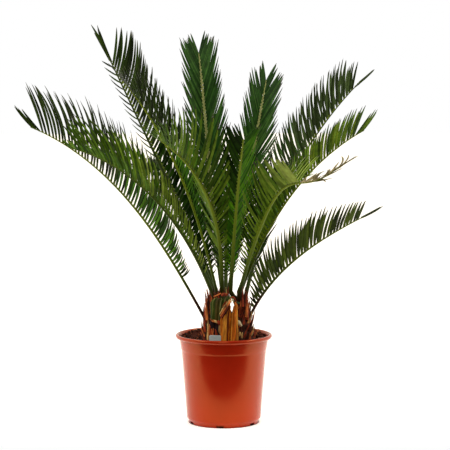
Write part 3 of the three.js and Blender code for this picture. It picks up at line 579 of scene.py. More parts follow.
class Shape:
    """Vertices and faces of one piece, gathered from many closed forms. A kind is a material's number."""

    def __init__(self):
        self.vertices = []
        self.faces = []
        self.kinds = []

    def add(self, vertices, faces, kinds):
        first = len(self.vertices)
        self.vertices.extend(np.asarray(vertices, float).reshape(-1, 3).tolist())
        self.faces.extend(tuple(first + corner for corner in face) for face in faces)
        self.kinds.extend([kinds] * len(faces) if isinstance(kinds, int) else kinds)

    def add_sweep(self, rings, kinds=0):
        """A closed form through rings of points, each ring with as many points as the next."""
        rings = np.asarray(rings, float)
        count, sides = rings.shape[:2]
        faces = side_faces(count, sides)
        faces.append(tuple(reversed(range(sides))))
        faces.append(tuple((count - 1) * sides + k for k in range(sides)))
        middle = rings[0].mean(axis=0)
        around = np.cross(rings[0] - middle, np.roll(rings[0], -1, axis=0) - middle).sum(axis=0)
        if around @ (rings[1].mean(axis=0) - middle) < 0:
            faces = [tuple(reversed(face)) for face in faces]
        if not isinstance(kinds, int):
            kinds = list(kinds) + [kinds[0], kinds[-1]]
        self.add(rings, faces, kinds)


def make_piece(name, shape, materials, replaces=()):
    """The mesh object of a shape, in metres, which rides on the part's one body."""
    mesh = bpy.data.meshes.new(name)
    mesh.from_pydata((np.asarray(shape.vertices) * MM).tolist(), [], shape.faces)
    for material in materials:
        mesh.materials.append(material)
    mesh.polygons.foreach_set("material_index", shape.kinds)
    mesh.polygons.foreach_set("use_smooth", [True] * len(mesh.polygons))
    mesh.set_sharp_from_angle(angle=math.radians(SHARP_ANGLES.get(name, SHARP_ANGLE)))
    mesh.update()
    piece = bpy.data.objects.new(name, mesh)
    bpy.context.scene.collection.objects.link(piece)
    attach(piece, "root")
    if replaces:
        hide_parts(*replaces)
    return piece


# Materials


def set_inputs(node, **values):
    """Sets inputs of a node. An underscore in a name stands for a space."""
    for name, value in values.items():
        node.inputs[name.replace("_", " ")].default_value = value


def add_node(tree, kind, **values):
    node = tree.nodes.new(f"ShaderNode{kind}")
    set_inputs(node, **values)
    return node


def join(tree, source, output, target, socket):
    tree.links.new(source.outputs[output], target.inputs[socket])


def colour_ramp(tree, positions, colours):
    ramp = add_node(tree, "ValToRGB")
    elements = ramp.color_ramp.elements
    for element, end in zip(elements, (0, -1)):
        element.position = positions[end]
        element.color = colours[end]
    for position, colour in zip(positions[1:-1], colours[1:-1]):
        elements.new(position).color = colour
    return ramp


def object_noise(tree, scale, stretch=EVEN, **values):
    """A noise in the piece's own space."""
    place = add_node(tree, "TexCoord")
    mapping = add_node(tree, "Mapping", Scale=stretch)
    pattern = add_node(tree, "TexNoise", Scale=scale, **values)
    join(tree, place, "Object", mapping, "Vector")
    join(tree, mapping, "Vector", pattern, "Vector")
    return pattern


def shader(name, colour, roughness, specular):
    """A material with its node tree and shader; the caller adds its pattern."""
    material = bpy.data.materials.new(name)
    material.use_nodes = True
    material.diffuse_color = linear(colour)
    surface = material.node_tree.nodes["Principled BSDF"]
    set_inputs(surface, Base_Color=linear(colour), Roughness=roughness, Specular_IOR_Level=specular)
    return material, material.node_tree, surface


def mottle(tree, surface, colour, scale, contrast, stretch=EVEN, detail=GRAIN_DETAIL):
    """Base colour between a darker and a lighter one, by a noise."""
    pattern = object_noise(tree, scale, stretch, Detail=detail)
    darker = linear([part * (1 - contrast) for part in colour])
    lighter = linear([min(part * (1 + contrast), 255) for part in colour])
    ramp = colour_ramp(tree, MOTTLE_EDGES, (darker, lighter))
    join(tree, pattern, "Fac", ramp, "Fac")
    join(tree, ramp, "Color", surface, "Base Color")
    return pattern


def relief(tree, surface, pattern, strength, height):
    bump = add_node(tree, "Bump", Strength=strength, Distance=height * MM)
    join(tree, pattern, "Fac", bump, "Height")
    join(tree, bump, "Normal", surface, "Normal")


def patterned(name, colour, finish):
    roughness, specular, scale, contrast, height, stretch = FINISHES[finish]
    material, tree, surface = shader(name, colour, roughness, specular)
    pattern = mottle(tree, surface, colour, scale, contrast, stretch)
    relief(tree, surface, pattern, 1, height)
    return material


def family(prefix, colours, finish):
    """A row of materials of one finish, named as their colours are or else numbered."""
    named = colours.items() if isinstance(colours, dict) else enumerate(colours)
    return [patterned(f"{prefix}_{name}", colour, finish) for name, colour in named]


def rib_material(name, middle, top):
    """Green that pales from the brown woolly foot of the stalk to the top of the frond, by height."""
    finish = RIB_FINISH
    material, tree, surface = shader(f"rib_{name}", middle, finish["roughness"], finish["specular"])
    low, high = RIB_COLOUR_HEIGHTS
    place = add_node(tree, "TexCoord")
    height = add_node(tree, "SeparateXYZ")
    share = add_node(tree, "MapRange", From_Min=low * MM, From_Max=high * MM)
    colours = [linear(colour) for colour in (RIB_FOOT, RIB_STALK, middle, top)]
    ramp = colour_ramp(tree, RIB_COLOUR_PLACES, colours)
    join(tree, place, "Object", height, "Vector")
    join(tree, height, "Z", share, "Value")
    join(tree, share, "Result", ramp, "Fac")
    join(tree, ramp, "Color", surface, "Base Color")
    relief(tree, surface, object_noise(tree, finish["grain"]), finish["strength"], finish["relief"])
    return material


def leaf_materials():
    """For each tone three greens, and then the colours that all leaflets share."""
    greens = {tone: family(f"leaf_{tone}", colours, "shaded_leaf" if tone == "shade" else "leaf")
              for tone, colours in LEAF_TOPS.items()}
    shared = {"tip": patterned("leaf_tip", TIP_COLOUR, "leaf_tip"),
              "feet": dict(zip(FOOT_COLOURS, family("leaf_foot", FOOT_COLOURS, "leaf_foot"))),
              "dry": family("leaf_dry", DRY_COLOURS, "dry_leaf")}
    return greens, shared


def pot_material():
    """Moulded plastic: faintly cloudy, with fine scuffs in its gloss and a very low relief."""
    finish = POT_FINISH
    material, tree, surface = shader("pot_plastic", POT_COLOUR, finish["roughness"], finish["specular"])
    set_inputs(surface, Specular_Tint=linear(POT_GLOSS))
    mottle(tree, surface, POT_COLOUR, finish["clouds"], finish["contrast"], detail=finish["cloud_detail"])
    least, most = finish["gloss"]
    scuffs = object_noise(tree, finish["scuffs"], Detail=finish["scuff_detail"])
    gloss = add_node(tree, "MapRange", To_Min=least, To_Max=most)
    join(tree, scuffs, "Fac", gloss, "Value")
    join(tree, gloss, "Result", surface, "Roughness")
    relief(tree, surface, object_noise(tree, finish["waves"]), finish["strength"], finish["relief"])
    return material


# Fronds


def rise_at(frond, share):
    """The rib's angle above level: a parabola through its three rises, less the sag."""
    foot, middle, tip = frond["rise"]
    smooth = (foot * (1 - share) * (1 - 2 * share) + 4 * middle * share * (1 - share)
              + tip * share * (2 * share - 1))
    if "sag" in frond:
        sag = frond["sag"]
        smooth = smooth - sag["angle"] * np.exp(-(((share - sag["place"]) / sag["width"]) ** 2))
    return smooth


def frames_at(frond, share):
    """Unit vectors along the rib, square to it on its upper side, and sideways, for each share."""
    azimuth = np.radians(lerp(frond["azimuth"], share))
    rise = np.radians(rise_at(frond, share))
    along = np.stack([np.cos(rise) * np.cos(azimuth), np.cos(rise) * np.sin(azimuth), np.sin(rise)], axis=-1)
    upper = [-np.sin(rise) * np.cos(azimuth), -np.sin(rise) * np.sin(azimuth), np.cos(rise)]
    roll = frond.get("roll", 0) * smoothstep(share, 0, ROLL_REACH)
    upper = turned_about(np.stack(upper, axis=-1), along, roll)
    return along, upper, np.cross(along, upper)


def rib_points(frond, share):
    """Points of the rib's line: it is walked from its foot by its azimuth and its rise."""
    middles = (np.arange(CURVE_STEPS) + 0.5) / CURVE_STEPS
    steps = frames_at(frond, middles)[0] * frond["length"] / CURVE_STEPS
    line = np.vstack([frond["foot"], np.asarray(frond["foot"]) + np.cumsum(steps, axis=0)])
    return on_line(line, np.linspace(0, 1, CURVE_STEPS + 1), share)


def sunk_direction(frond, along):
    """From a frond's foot down into the trunk; a high foot bends in to the middle of the nearer head."""
    x, y, z = frond["foot"]
    if z < HIGH_FOOT:
        return -along
    head = min(HEADS.values(), key=lambda place: abs(place["x"] - x))
    return unit(np.array([head["x"] - x, head["y"] - y, -RIB_SUNK * RIB_SUNK_DROP]))


def rib_shape(frond):
    """A bar with a rounded underside and a flatter top, which starts a little inside the trunk."""
    share = np.linspace(0, 1, int(frond["length"] / RIB_STEP))
    centres = rib_points(frond, share)
    along, upper, side = frames_at(frond, share)
    depth = np.linspace(RIB_SUNK, 0, RIB_SUNK_STEPS, endpoint=False)
    centres = np.vstack([centres[0] + depth[:, None] * sunk_direction(frond, along[0]), centres])
    upper, side = (np.vstack([np.repeat(axis[:1], RIB_SUNK_STEPS, axis=0), axis]) for axis in (upper, side))
    turn = full_turn(RIB_SIDES)
    across, height = (np.sign(part) * np.abs(part) ** RIB_SQUARENESS for part in (np.cos(turn), np.sin(turn)))
    height = np.where(height > 0, RIB_TOP_SHARE, 1) * height
    swell = np.concatenate([lerp((1, RIB_SWELL), depth / RIB_SUNK), np.ones(len(share))])
    share = np.concatenate([np.zeros(RIB_SUNK_STEPS), share])
    widths = swell * lerp(RIB_WIDTH, share) / 2
    heights = swell * lerp(RIB_HEIGHT, share) / 2
    shape = Shape()
    shape.add_sweep(centres[:, None] + side[:, None] * (across * widths[:, None])[..., None]
                    + upper[:, None] * (height * heights[:, None])[..., None])
    return shape


def leaflet_growth(frond, reach):
    """Short spines at the stalk, then the full length, and about half of it at the tip."""
    swell = lerp((LEAFLET_AT_STALK, 1), smoothstep(reach, 0, frond.get("full", FULL_LENGTH_REACH)))
    shorter = smoothstep(reach, frond.get("short", SHORTENED_REACH), 1)
    return swell * lerp((1, frond.get("tip_leaf", LEAFLET_AT_TIP)), shorter)


def leaflet_table(frond, chance):
    """Roots, frames and measures of all the leaflets of a frond, two rows of them, as arrays."""
    bare = frond.get("bare", STALK_SHARE)
    count = round(frond["length"] * (1 - bare) / frond.get("spacing", LEAFLET_SPACING))
    both = 2 * count
    row = np.tile([1, -1], count)

    def by_row(name, usual):
        return np.where(row > 0, *frond.get(name, usual))

    shift = frond.get("stagger", LEAFLET_STAGGER) * row
    shift = shift + np.repeat(chance.uniform(-PAIR_SHIFT, PAIR_SHIFT, count), 2)
    reach = np.clip(np.repeat((np.arange(count) + 0.5) / count, 2) + shift / count, 0, 1)
    near_tip = smoothstep(reach, TIP_REACH, 1)
    paired = np.repeat(chance.normal(0, 1, count), 2)
    share = bare + reach * (1 - bare)
    along, upper, side = frames_at(frond, share)
    width = lerp(RIB_WIDTH, share)[:, None]
    roots = rib_points(frond, share) + side * row[:, None] * width * ROOT_ASIDE + upper * width * ROOT_UP
    angle = (lerp(LEAFLET_ANGLES, np.sqrt(reach)) + frond.get("open", 0) + by_row("row_open", (0, 0))
             + by_row("tip_open", (0, 0)) * near_tip)
    curl = frond.get("curl", LEAFLET_CURL) * (1 - TIP_CURL_LOSS * near_tip)
    lift = lerp(frond.get("lifts", ROW_LIFTS), smoothstep(reach, FLATTENED_REACH, 1))
    share_of_row = by_row("rows", (1, 1))
    length = frond["leaf"] * leaflet_growth(frond, reach) * share_of_row
    fullness = np.sqrt(share_of_row)
    if "sag" in frond:
        bent = smoothstep(share, SAG_REACH, frond["wither"])
        angle = angle + SAG_OPEN * bent
        length = length * lerp((1, SAG_LEAF), bent)
        fullness = fullness * lerp((1, SAG_BREADTH), bent)
    if "end" in frond:
        last = reach > END_REACH
        end_length, end_angle = frond["end"]
        angle = np.where(last, end_angle, angle)
        curl = np.where(last, END_CURL, curl)
        length = np.where(last, end_length, length)
        fullness = np.where(last, END_BREADTH, fullness)
    breadth = lerp((NARROW_BREADTH, 1), smoothstep(reach, 0, NARROW_REACH))
    breadth = frond.get("breadth", LEAFLET_BREADTH) * breadth * fullness
    table = dict(
        share=share, reach=reach, row=row, along=along, upper=upper, side=side, root=roots,
        left_out=(row == frond.get("thinned")) & (np.arange(both) % 4 < 2),
        angle=angle + PAIR_ANGLE_NOISE * paired + chance.normal(0, ANGLE_NOISE, both),
        lift=lift + chance.normal(0, LIFT_NOISE, both),
        length=length * chance.normal(1, LENGTH_NOISE, both),
        curl=curl * np.repeat(CURL_LEAST + CURL_SPREAD * chance.random(count), 2),
        twist=frond.get("twist", LEAFLET_TWIST) * chance.normal(1, TWIST_NOISE, both),
        breadth=breadth * chance.normal(1, BREADTH_NOISE, both),
    )
    if "wither" in frond:
        dry = share > frond["wither"]
        withered = dict(
            length=chance.uniform(*WITHERED_LENGTHS, both), angle=chance.uniform(*WITHERED_ANGLES, both),
            breadth=WITHERED_BREADTH, curl=chance.normal(0, WITHERED_CURL, both))
        for name, values in withered.items():
            table[name] = np.where(dry, values, table[name])
    return table


def leaflet_lines(table, nudge):
    """Centre lines of leaflets, with the unit vectors across the blade and square to it."""
    stations = np.array(LEAFLET_STATIONS)
    middles = (stations[:-1] + stations[1:]) / 2
    lift = table["lift"] + nudge
    along, upper, side = (table[name].T[:, :, None] for name in ("along", "upper", "side"))

    def frames(places):
        angle = np.radians(table["angle"][:, None] + table["curl"][:, None] * (CURL_MIDDLE - places))
        raised = np.radians(lift[:, None] + DROOP * (DROOP_MIDDLE - places))
        sideways = table["row"][:, None] * side
        across = np.cos(raised) * sideways + np.sin(raised) * upper
        facing = -np.sin(raised) * sideways + np.cos(raised) * upper
        out = np.cos(angle) * along + np.sin(angle) * across
        broad = np.sin(angle) * along - np.cos(angle) * across
        return [np.moveaxis(part, 0, -1) for part in (out, broad, facing)]

    steps = frames(middles[None])[0] * (np.diff(stations) * table["length"][:, None])[..., None]
    start = table["root"][:, None]
    line = np.concatenate([start, start + np.cumsum(steps, axis=1)], axis=1)
    out, broad, facing = frames(stations[None])
    twist = np.broadcast_to((table["twist"] * table["row"])[:, None], broad.shape[:2])
    return line, turned_about(broad, out, twist), turned_about(facing, out, twist)


def first_touch(line, obstacles, radii):
    """The first station of each line that comes too near an obstacle, or the number of stations."""
    gaps = np.linalg.norm(line[:, :, None] - obstacles[None, None], axis=-1) - radii
    near = (gaps < CLEARANCE).any(axis=-1)
    return np.where(near.any(axis=1), near.argmax(axis=1), line.shape[1])


def chosen_leaflets(table, obstacles, radii):
    """Leaflets that pass other ribs: one that would touch is lifted, lowered, shortened or left out."""
    nudge = np.zeros(len(table["row"]))
    free = np.zeros(len(nudge), int)
    for tried in LIFT_NUDGES:
        touch = first_touch(leaflet_lines(table, tried)[0], obstacles, radii)
        better = touch > free
        nudge = np.where(better, tried, nudge)
        free = np.where(better, touch, free)
    table["length"] = table["length"] * np.array(LEAFLET_STATIONS)[np.maximum(free - 1, 0)]
    table["lift"] = table["lift"] + nudge
    kept = (table["length"] > SHORTEST_LEAFLET) & ~table["left_out"]
    return {name: values[kept] for name, values in table.items()}


def add_leaflets(shape, table, kinds_of):
    """Closed thin blades with a shallow groove on top, turned-down edges and a keel underneath."""
    line, broad, facing = leaflet_lines(table, 0)
    outline = np.array(LEAFLET_OUTLINE) / 2
    half = table["breadth"][:, None] * outline
    depth = np.full_like(half, LEAFLET_THICKNESS) * np.minimum(outline * KEEL_FADE, 1)
    ring = np.array(LEAFLET_RING)
    sides = len(ring)
    keel = np.where(np.arange(sides) == sides - 1, 1.0, 0.0)
    across = ring[:, 0] * half[..., None]
    height = ring[:, 1] * half[..., None] * (1 - keel) - keel * depth[..., None]
    points = line[:, :, None] + broad[:, :, None] * across[..., None] + facing[:, :, None] * height[..., None]
    middle_strips = len(LEAFLET_STATIONS) - 2 - TIP_STRIPS
    for index, rings in enumerate(points):
        top, edge, under, foot, tip = kinds_of(index)
        strip = [top] * (TOP_SIDES - 1) + [edge] + [under] * (sides - TOP_SIDES)
        shape.add_sweep(rings, [foot] * sides + strip * middle_strips + [tip] * sides * TIP_STRIPS)


def build_frond(name, number, obstacles, radii, greens, shared, ribs):
    frond = FRONDS[name]
    chance = np.random.default_rng(FROND_SEED + number)
    rib_tone = frond.get("rib", "green")
    feet = shared["feet"]["pale" if rib_tone == "pale" else "leafy"]
    tones = frond["tones"] + frond.get("tip_tones", frond["tones"]) + ("shade",)
    materials = [green for tone in tones for green in greens[tone]] + [shared["tip"], feet] + shared["dry"]
    table = chosen_leaflets(leaflet_table(frond, chance), obstacles, radii)
    picks = chance.integers(0, len(DRY_COLOURS), len(table["row"]))
    dry = table["share"] > frond.get("wither", 1)
    place = table["reach"] + chance.normal(0, TONE_NOISE, len(picks))
    outer = place > OUTER_TONES_REACH
    # Painted shade: leaflets deep in the crown, and the outer ones of the shaded row, take the darkest
    # greens.
    painted_shade = (place < frond.get("shade", 0)) | (outer & (table["row"] == frond.get("painted_shade_row")))

    def kinds_of(index):
        """The materials of a leaflet's top, edge, underside, foot and tip; the edge strip has painted shade.
        """
        pick = int(picks[index])
        if dry[index]:
            return (DRY_KIND + pick,) * 5
        if painted_shade[index]:
            return SHADE_KIND + pick, SHADE_KIND + EDGE_SHADE_PICK, SHADE_KIND + pick, FOOT_KIND, TIP_KIND
        first = OUTER_KIND * int(outer[index])
        return first + pick, first + EDGE_SHADE_PICK, first + UNDER_KIND + pick, FOOT_KIND, TIP_KIND

    shape = Shape()
    add_leaflets(shape, table, kinds_of)
    make_piece(f"{name}_leaflets", shape, materials, [name])
    make_piece(f"{name}_rib", rib_shape(frond), [ribs[rib_tone]], [name])


def build_fronds():
    greens, shared = leaf_materials()
    ribs = {name: rib_material(name, *colours) for name, colours in RIB_COLOURS.items()}
    places = {}
    for name, frond in FRONDS.items():
        share = np.linspace(0, 1, int(frond["length"] / OBSTACLE_STEP))
        places[name] = (rib_points(frond, share), lerp(RIB_WIDTH, share) / 2)
    for number, name in enumerate(FRONDS):
        others = [place for other, place in places.items() if other != name]
        obstacles = np.vstack([points for points, _ in others])
        radii = np.concatenate([radius for _, radius in others])
        build_frond(name, number, obstacles, radii, greens, shared, ribs)


# Pot, potting mix and label


def wall_radius(height):
    """The radius of the pot's outside, between its foot ring and its lip."""
    if height >= STEP_HEIGHT:
        share = (height - STEP_HEIGHT) / (LIP_FOOT - STEP_HEIGHT)
        return lerp((COLLAR_FOOT_RADIUS, COLLAR_TOP_RADIUS), share)
    share = (height - WALL_FOOT_HEIGHT) / (STEP_HEIGHT - WALL_FOOT_HEIGHT)
    return lerp((WALL_FOOT_RADIUS, COLLAR_FOOT_RADIUS - STEP_DEPTH), share)


def lip_outline():
    """The rolled lip: from under its edge, over the top in an arc and down into the mouth."""
    width, height = LIP_ROLL_HALVES
    under = [(wall_radius(LIP_FOOT) + LIP_FILLET[0], LIP_FOOT + LIP_FILLET[1])]
    under += [(radius, LIP_FOOT + rise) for radius, rise in LIP_UNDERSIDE]
    rolled = [(LIP_ROLL_RADIUS + width * math.cos(angle), POT_HEIGHT - height + height * math.sin(angle))
              for angle in np.linspace(*LIP_ROLL_TURN, LIP_ROLL_STEPS)]
    return under + rolled + [(radius, POT_HEIGHT - depth) for radius, depth in LIP_MOUTH]


def pot_outline():
    """From the middle of the underside round the outside and over the lip to the middle of the floor."""
    wall = [(wall_radius(z), z) for z in np.linspace(*WALL_SPAN, WALL_RINGS)]
    step = [(wall_radius(STEP_FOOT), STEP_FOOT), (COLLAR_FOOT_RADIUS, STEP_HEIGHT + STEP_DEPTH),
            (COLLAR_FOOT_RADIUS + STEP_ROUNDING[0], STEP_HEIGHT + STEP_ROUNDING[1]),
            (wall_radius(LIP_FOOT), LIP_FOOT)]
    inside = [
        (wall_radius(LIP_FOOT) - WALL, LIP_FOOT - 1), (COLLAR_FOOT_RADIUS - WALL, STEP_HEIGHT + STEP_DEPTH),
        (wall_radius(STEP_FOOT) - WALL, STEP_FOOT), (WALL_FOOT_RADIUS - WALL, WALL_FOOT_HEIGHT + WALL),
        (WALL_FOOT_RADIUS - WALL - FLOOR_CORNER, FLOOR_TOP), (0, FLOOR_TOP),
    ]
    return FOOT_OUTLINE + wall + step + lip_outline() + inside


def lathe(outline, sides):
    """A closed turned form from (radius, height) pairs that start and end on the axis."""
    rings = [level_ring(radius, height, sides) for radius, height in outline[1:-1]]
    count = len(rings)
    low = (count - 1) * sides
    vertices = np.vstack(rings + [[(0, 0, outline[0][1])], [(0, 0, outline[-1][1])]])
    faces = side_faces(count, sides)
    faces += [((k + 1) % sides, k, count * sides) for k in range(sides)]
    faces += [(low + k, low + (k + 1) % sides, count * sides + 1) for k in range(sides)]
    shape = Shape()
    shape.add(vertices, faces, 0)
    return shape


def add_box(shape, centre, size, azimuth):
    corners = np.array([(x, y, z) for z in (-1, 1) for x, y in ((-1, -1), (1, -1), (1, 1), (-1, 1))]) / 2
    x, y, z = (corners * size).T
    along = point_at(azimuth, 1, 0)
    turned = np.stack([x * along[0] - y * along[1], x * along[1] + y * along[0], z], axis=-1)
    shape.add_sweep((turned + centre).reshape(2, 4, 3))


def cut(piece, cutters):
    """The cutters are taken out of the piece and removed."""
    for cutter in cutters:
        step = piece.modifiers.new("cut", "BOOLEAN")
        step.object = cutter
        step.solver = "EXACT"
    bpy.context.view_layer.update()
    done = piece.evaluated_get(bpy.context.evaluated_depsgraph_get())
    mesh = bpy.data.meshes.new_from_object(done)
    piece.modifiers.clear()
    piece.data = mesh
    for cutter in cutters:
        bpy.data.objects.remove(cutter)


def build_pot():
    pot = make_piece("nursery_pot", lathe(pot_outline(), POT_SIDES), [pot_material()], ["pot"])
    notches = Shape()
    for i in range(NOTCH_COUNT):
        azimuth = NOTCH_FIRST_AZIMUTH + i * 360 / NOTCH_COUNT
        add_box(notches, point_at(azimuth, FOOT_RADIUS, 0), NOTCH_SIZE, azimuth)
    drains = Shape()
    for i in range(DRAIN_COUNT):
        x, y, _ = point_at(i * 360 / DRAIN_COUNT, DRAIN_RING_RADIUS, 0)
        drains.add_sweep([level_ring(DRAIN_RADIUS, z, DRAIN_SIDES, x, y) for z in DRAIN_CUT])
    cut(pot, [make_piece("notch_cutter", notches, []),
              make_piece("drain_cutter", drains, [])])
    pot.data.set_sharp_from_angle(angle=math.radians(SHARP_ANGLES["nursery_pot"]))


def soil_height(x, y):
    """The mix's surface: lumps of two sizes, heaped up a little towards the wall."""
    back = 1 + SOIL_BACK_RISE * smoothstep(y, *SOIL_BACK_DEPTHS)
    edge = smoothstep(math.hypot(x, y), *SOIL_EDGE_RADII) * back
    small = noise.noise(Vector((x, y, SOIL_SMALL_SLICE)) / SOIL_SMALL_LUMP)
    lumps = noise.noise(Vector((x, y, 0)) / SOIL_LUMP) + SOIL_SMALL_SHARE * small
    return SOIL_TOP + SOIL_EDGE_RISE * edge + SOIL_RELIEF * lumps - SOIL_SUNK


def build_soil():
    materials = family("mix", SOIL_COLOURS, "mix")
    edge_radius = wall_radius(SOIL_TOP + SOIL_EDGE_RISE) - WALL - SOIL_GAP
    rings = [level_ring(radius, z, SOIL_SIDES) for radius, z in (
        (WALL_FOOT_RADIUS - WALL - SOIL_FOOT_CORNER, SOIL_FOOT_HEIGHTS[0]),
        (WALL_FOOT_RADIUS - WALL - SOIL_GAP, SOIL_FOOT_HEIGHTS[1]),
        (wall_radius(SOIL_COLLAR_HEIGHT) - WALL - SOIL_GAP, SOIL_COLLAR_HEIGHT))]
    rings += [[(x, y, soil_height(x, y)) for x, y, _ in level_ring(radius, 0, SOIL_SIDES)]
              for radius in np.linspace(edge_radius, 1, SOIL_RINGS)]
    shape = Shape()
    shape.add_sweep(rings)
    make_piece("potting_mix", shape, materials[1:2], ["soil"])
    build_crumbs(materials, edge_radius)


def build_crumbs(materials, edge_radius):
    """Bits of bark and peat that lie half sunk in the surface, as rough little blocks."""
    chance = random.Random(CRUMB_SEED)
    shape = Shape()
    for _ in range(CRUMB_COUNT):
        radius = edge_radius * math.sqrt(chance.random())
        angle = chance.uniform(0, 2 * math.pi)
        size = chance.triangular(*CRUMB_SIZES)
        radius = min(radius, edge_radius - size / 2)
        x, y = radius * math.cos(angle), radius * math.sin(angle)
        centre = np.array([x, y, soil_height(x, y) + size * CRUMB_LIFT])
        axes = unit(np.array([[chance.gauss(0, 1) for _ in range(3)] for _ in range(3)]))
        long = axes[0] * size / 2
        broad = axes[1] * size * chance.uniform(*CRUMB_BREADTHS)
        deep = np.cross(axes[0], axes[1]) * size * chance.uniform(*CRUMB_DEPTHS)
        rings = [[centre + place * long + scale * (u * broad * chance.uniform(*CRUMB_ROUGHNESS)
                                                   + v * deep * chance.uniform(*CRUMB_ROUGHNESS))
                  for u, v in CRUMB_RING] for place, scale in CRUMB_STATIONS]
        shape.add_sweep(rings, chance.choices(range(len(materials)), CRUMB_TINTS)[0])
    make_piece("mix_crumbs", shape, materials)


def mirrored(points):
    return [(-x, z) for x, z in reversed(points)]


def build_label():
    """A slip with rounded corners on top and a blunt point below, its edges bent a little forward."""
    width, thickness, length = LABEL_SIZE
    half = width / 2
    corner = LABEL_CORNER
    side = [(half - corner + corner * math.sin(a), length - corner + corner * math.cos(a))
            for a in np.linspace(0, math.pi / 2, LABEL_CORNER_STEPS)]
    foot = [(half, LABEL_POINT_HEIGHT), (LABEL_POINT_HALF, 0)]
    outline = mirrored(side) + side + foot + mirrored(foot)
    lean = math.radians(LABEL_LEAN)
    rings = []
    for depth, grow in LABEL_RINGS:
        ring = []
        for x, z in outline:
            y = depth * thickness + LABEL_BEND * x * x
            x, z = np.array([x, z]) * (1 + grow / half)
            ring.append(np.add(LABEL_PLACE, (x, y * math.cos(lean) - z * math.sin(lean),
                                             y * math.sin(lean) + z * math.cos(lean))))
        rings.append(ring)
    shape = Shape()
    shape.add_sweep(rings)
    material = patterned("label_plastic", LABEL_COLOUR, "label")
    make_piece("blank_label", shape, [material], ["label"])


# Trunk


def profile_radius(profile, height):
    return float(np.interp(height, [z for _, z in profile], [r for r, _ in profile]))


def core_rings(profile, x, y, stretch=1):
    """Rings of a turned core with lumps and hollows, standing at (x, y), stretched from side to side."""
    low, high = profile[0][1], profile[-1][1]
    rings = []
    for height in np.linspace(low, high, CORE_RINGS):
        radius = profile_radius(profile, height)
        ring = []
        for a in full_turn(CORE_SIDES):
            lump = noise.noise(Vector((math.cos(a) * radius, math.sin(a) * radius, height)) / CORE_LUMP)
            reach = radius + (CORE_RELIEF * lump if height > low else 0)
            ring.append((x + stretch * reach * math.cos(a), y + reach * math.sin(a), TRUNK_FOOT + height))
        rings.append(ring)
    return rings


def scale_rings(form, foot, azimuth, lean, length, width, curve):
    """A woody scale: it leans out from its foot, curves by so many degrees, and narrows to its point."""
    thickness, point = form
    out = point_at(azimuth, 1, 0)
    side = point_at(azimuth + 90, 1, 0)
    centre = np.asarray(foot, float)
    rings = []
    for i in range(SCALE_STATIONS):
        share = i / (SCALE_STATIONS - 1)
        tilt = math.radians(lean + curve * share)
        up = out * math.sin(tilt) + np.array([0, 0, math.cos(tilt)])
        front = np.cross(side, up)
        half = width / 2 * (1 - share ** SCALE_TAPER * (1 - point))
        half *= SCALE_FOOT_BREADTH + SCALE_BELLY * share * (1 - share)
        deep = thickness / 2 * (1 - SCALE_THINNING * share)
        rings.append([centre + u * half * side + v * deep * front for u, v in SCALE_RING])
        centre = centre + up * length / (SCALE_STATIONS - 1)
    return rings


def in_head_gap(rings):
    points = np.vstack(rings)
    (left, right), (low, high) = HEAD_GAP
    inside = (points[:, 0] > left) & (points[:, 0] < right) & (points[:, 2] > low) & (points[:, 2] < high)
    return inside.any()


def build_trunk(materials):
    core = Shape()
    core.add_sweep(core_rings(FOOT_PROFILE, TRUNK_X, 0, TRUNK_STRETCH))
    for head in HEADS.values():
        core.add_sweep(core_rings(head["profile"], head["x"], head["y"]))
    make_piece("trunk_core", core, materials, ["trunk"])
    chance = random.Random(TRUNK_SEED)
    scales = Shape()
    add_foot_scales(scales, chance)
    add_head_scales(scales, chance)
    for x, y, z, azimuth, lean, length, width, curve, tint in LOOSE_SCALES:
        scales.add_sweep(scale_rings(LOOSE_SCALE_FORM, (x, y, z), azimuth, lean, length, width, curve), tint)
    make_piece("trunk_scales", scales, materials)


def add_foot_scales(scales, chance):
    """Broad scales in a spiral round the swollen foot."""
    for i in range(FOOT_SCALE_COUNT):
        height = FOOT_SCALE_RISE * (i / FOOT_SCALE_COUNT) ** FOOT_SCALE_CROWDING
        azimuth = i * GOLDEN_ANGLE
        radius = profile_radius(FOOT_PROFILE, height) - FOOT_SCALE_SUNK
        foot = point_at(azimuth, radius, TRUNK_FOOT + max(height - FOOT_SCALE_DROP, FOOT_SCALE_LOWEST))
        foot = foot * (TRUNK_STRETCH, 1, 1) + (TRUNK_X, 0, 0)
        measures = [chance.uniform(*span) for span in FOOT_SCALE_SPANS]
        rings = scale_rings(FOOT_SCALE_FORM, foot, azimuth, *measures)
        scales.add_sweep(rings, chance.choices(TINTS, FOOT_TINTS)[0])


def add_head_scales(scales, chance):
    """Rows of narrow pointed scales round the two heads."""
    for head, rows in HEAD_SCALES.items():
        place = HEADS[head]
        for height, count, length, width in rows:
            radius = profile_radius(place["profile"], height) - HEAD_SCALE_SUNK
            turn = chance.uniform(0, 360)
            for i in range(count):
                azimuth = turn + (i + chance.uniform(-HEAD_SCALE_SHIFT, HEAD_SCALE_SHIFT)) * 360 / count
                z = TRUNK_FOOT + height + chance.uniform(-HEAD_SCALE_RISE, HEAD_SCALE_RISE)
                rings = scale_rings(
                    HEAD_SCALE_FORM, point_at(azimuth, radius, z, place["x"], place["y"]), azimuth,
                    chance.uniform(*HEAD_SCALE_LEANS), length * chance.uniform(*HEAD_SCALE_SIZES),
                    width * chance.uniform(*HEAD_SCALE_SIZES), chance.uniform(*HEAD_SCALE_CURVES))
                tint = chance.choices(TINTS, HEAD_TINTS)[0]
                if not in_head_gap(rings):
                    scales.add_sweep(rings, tint)


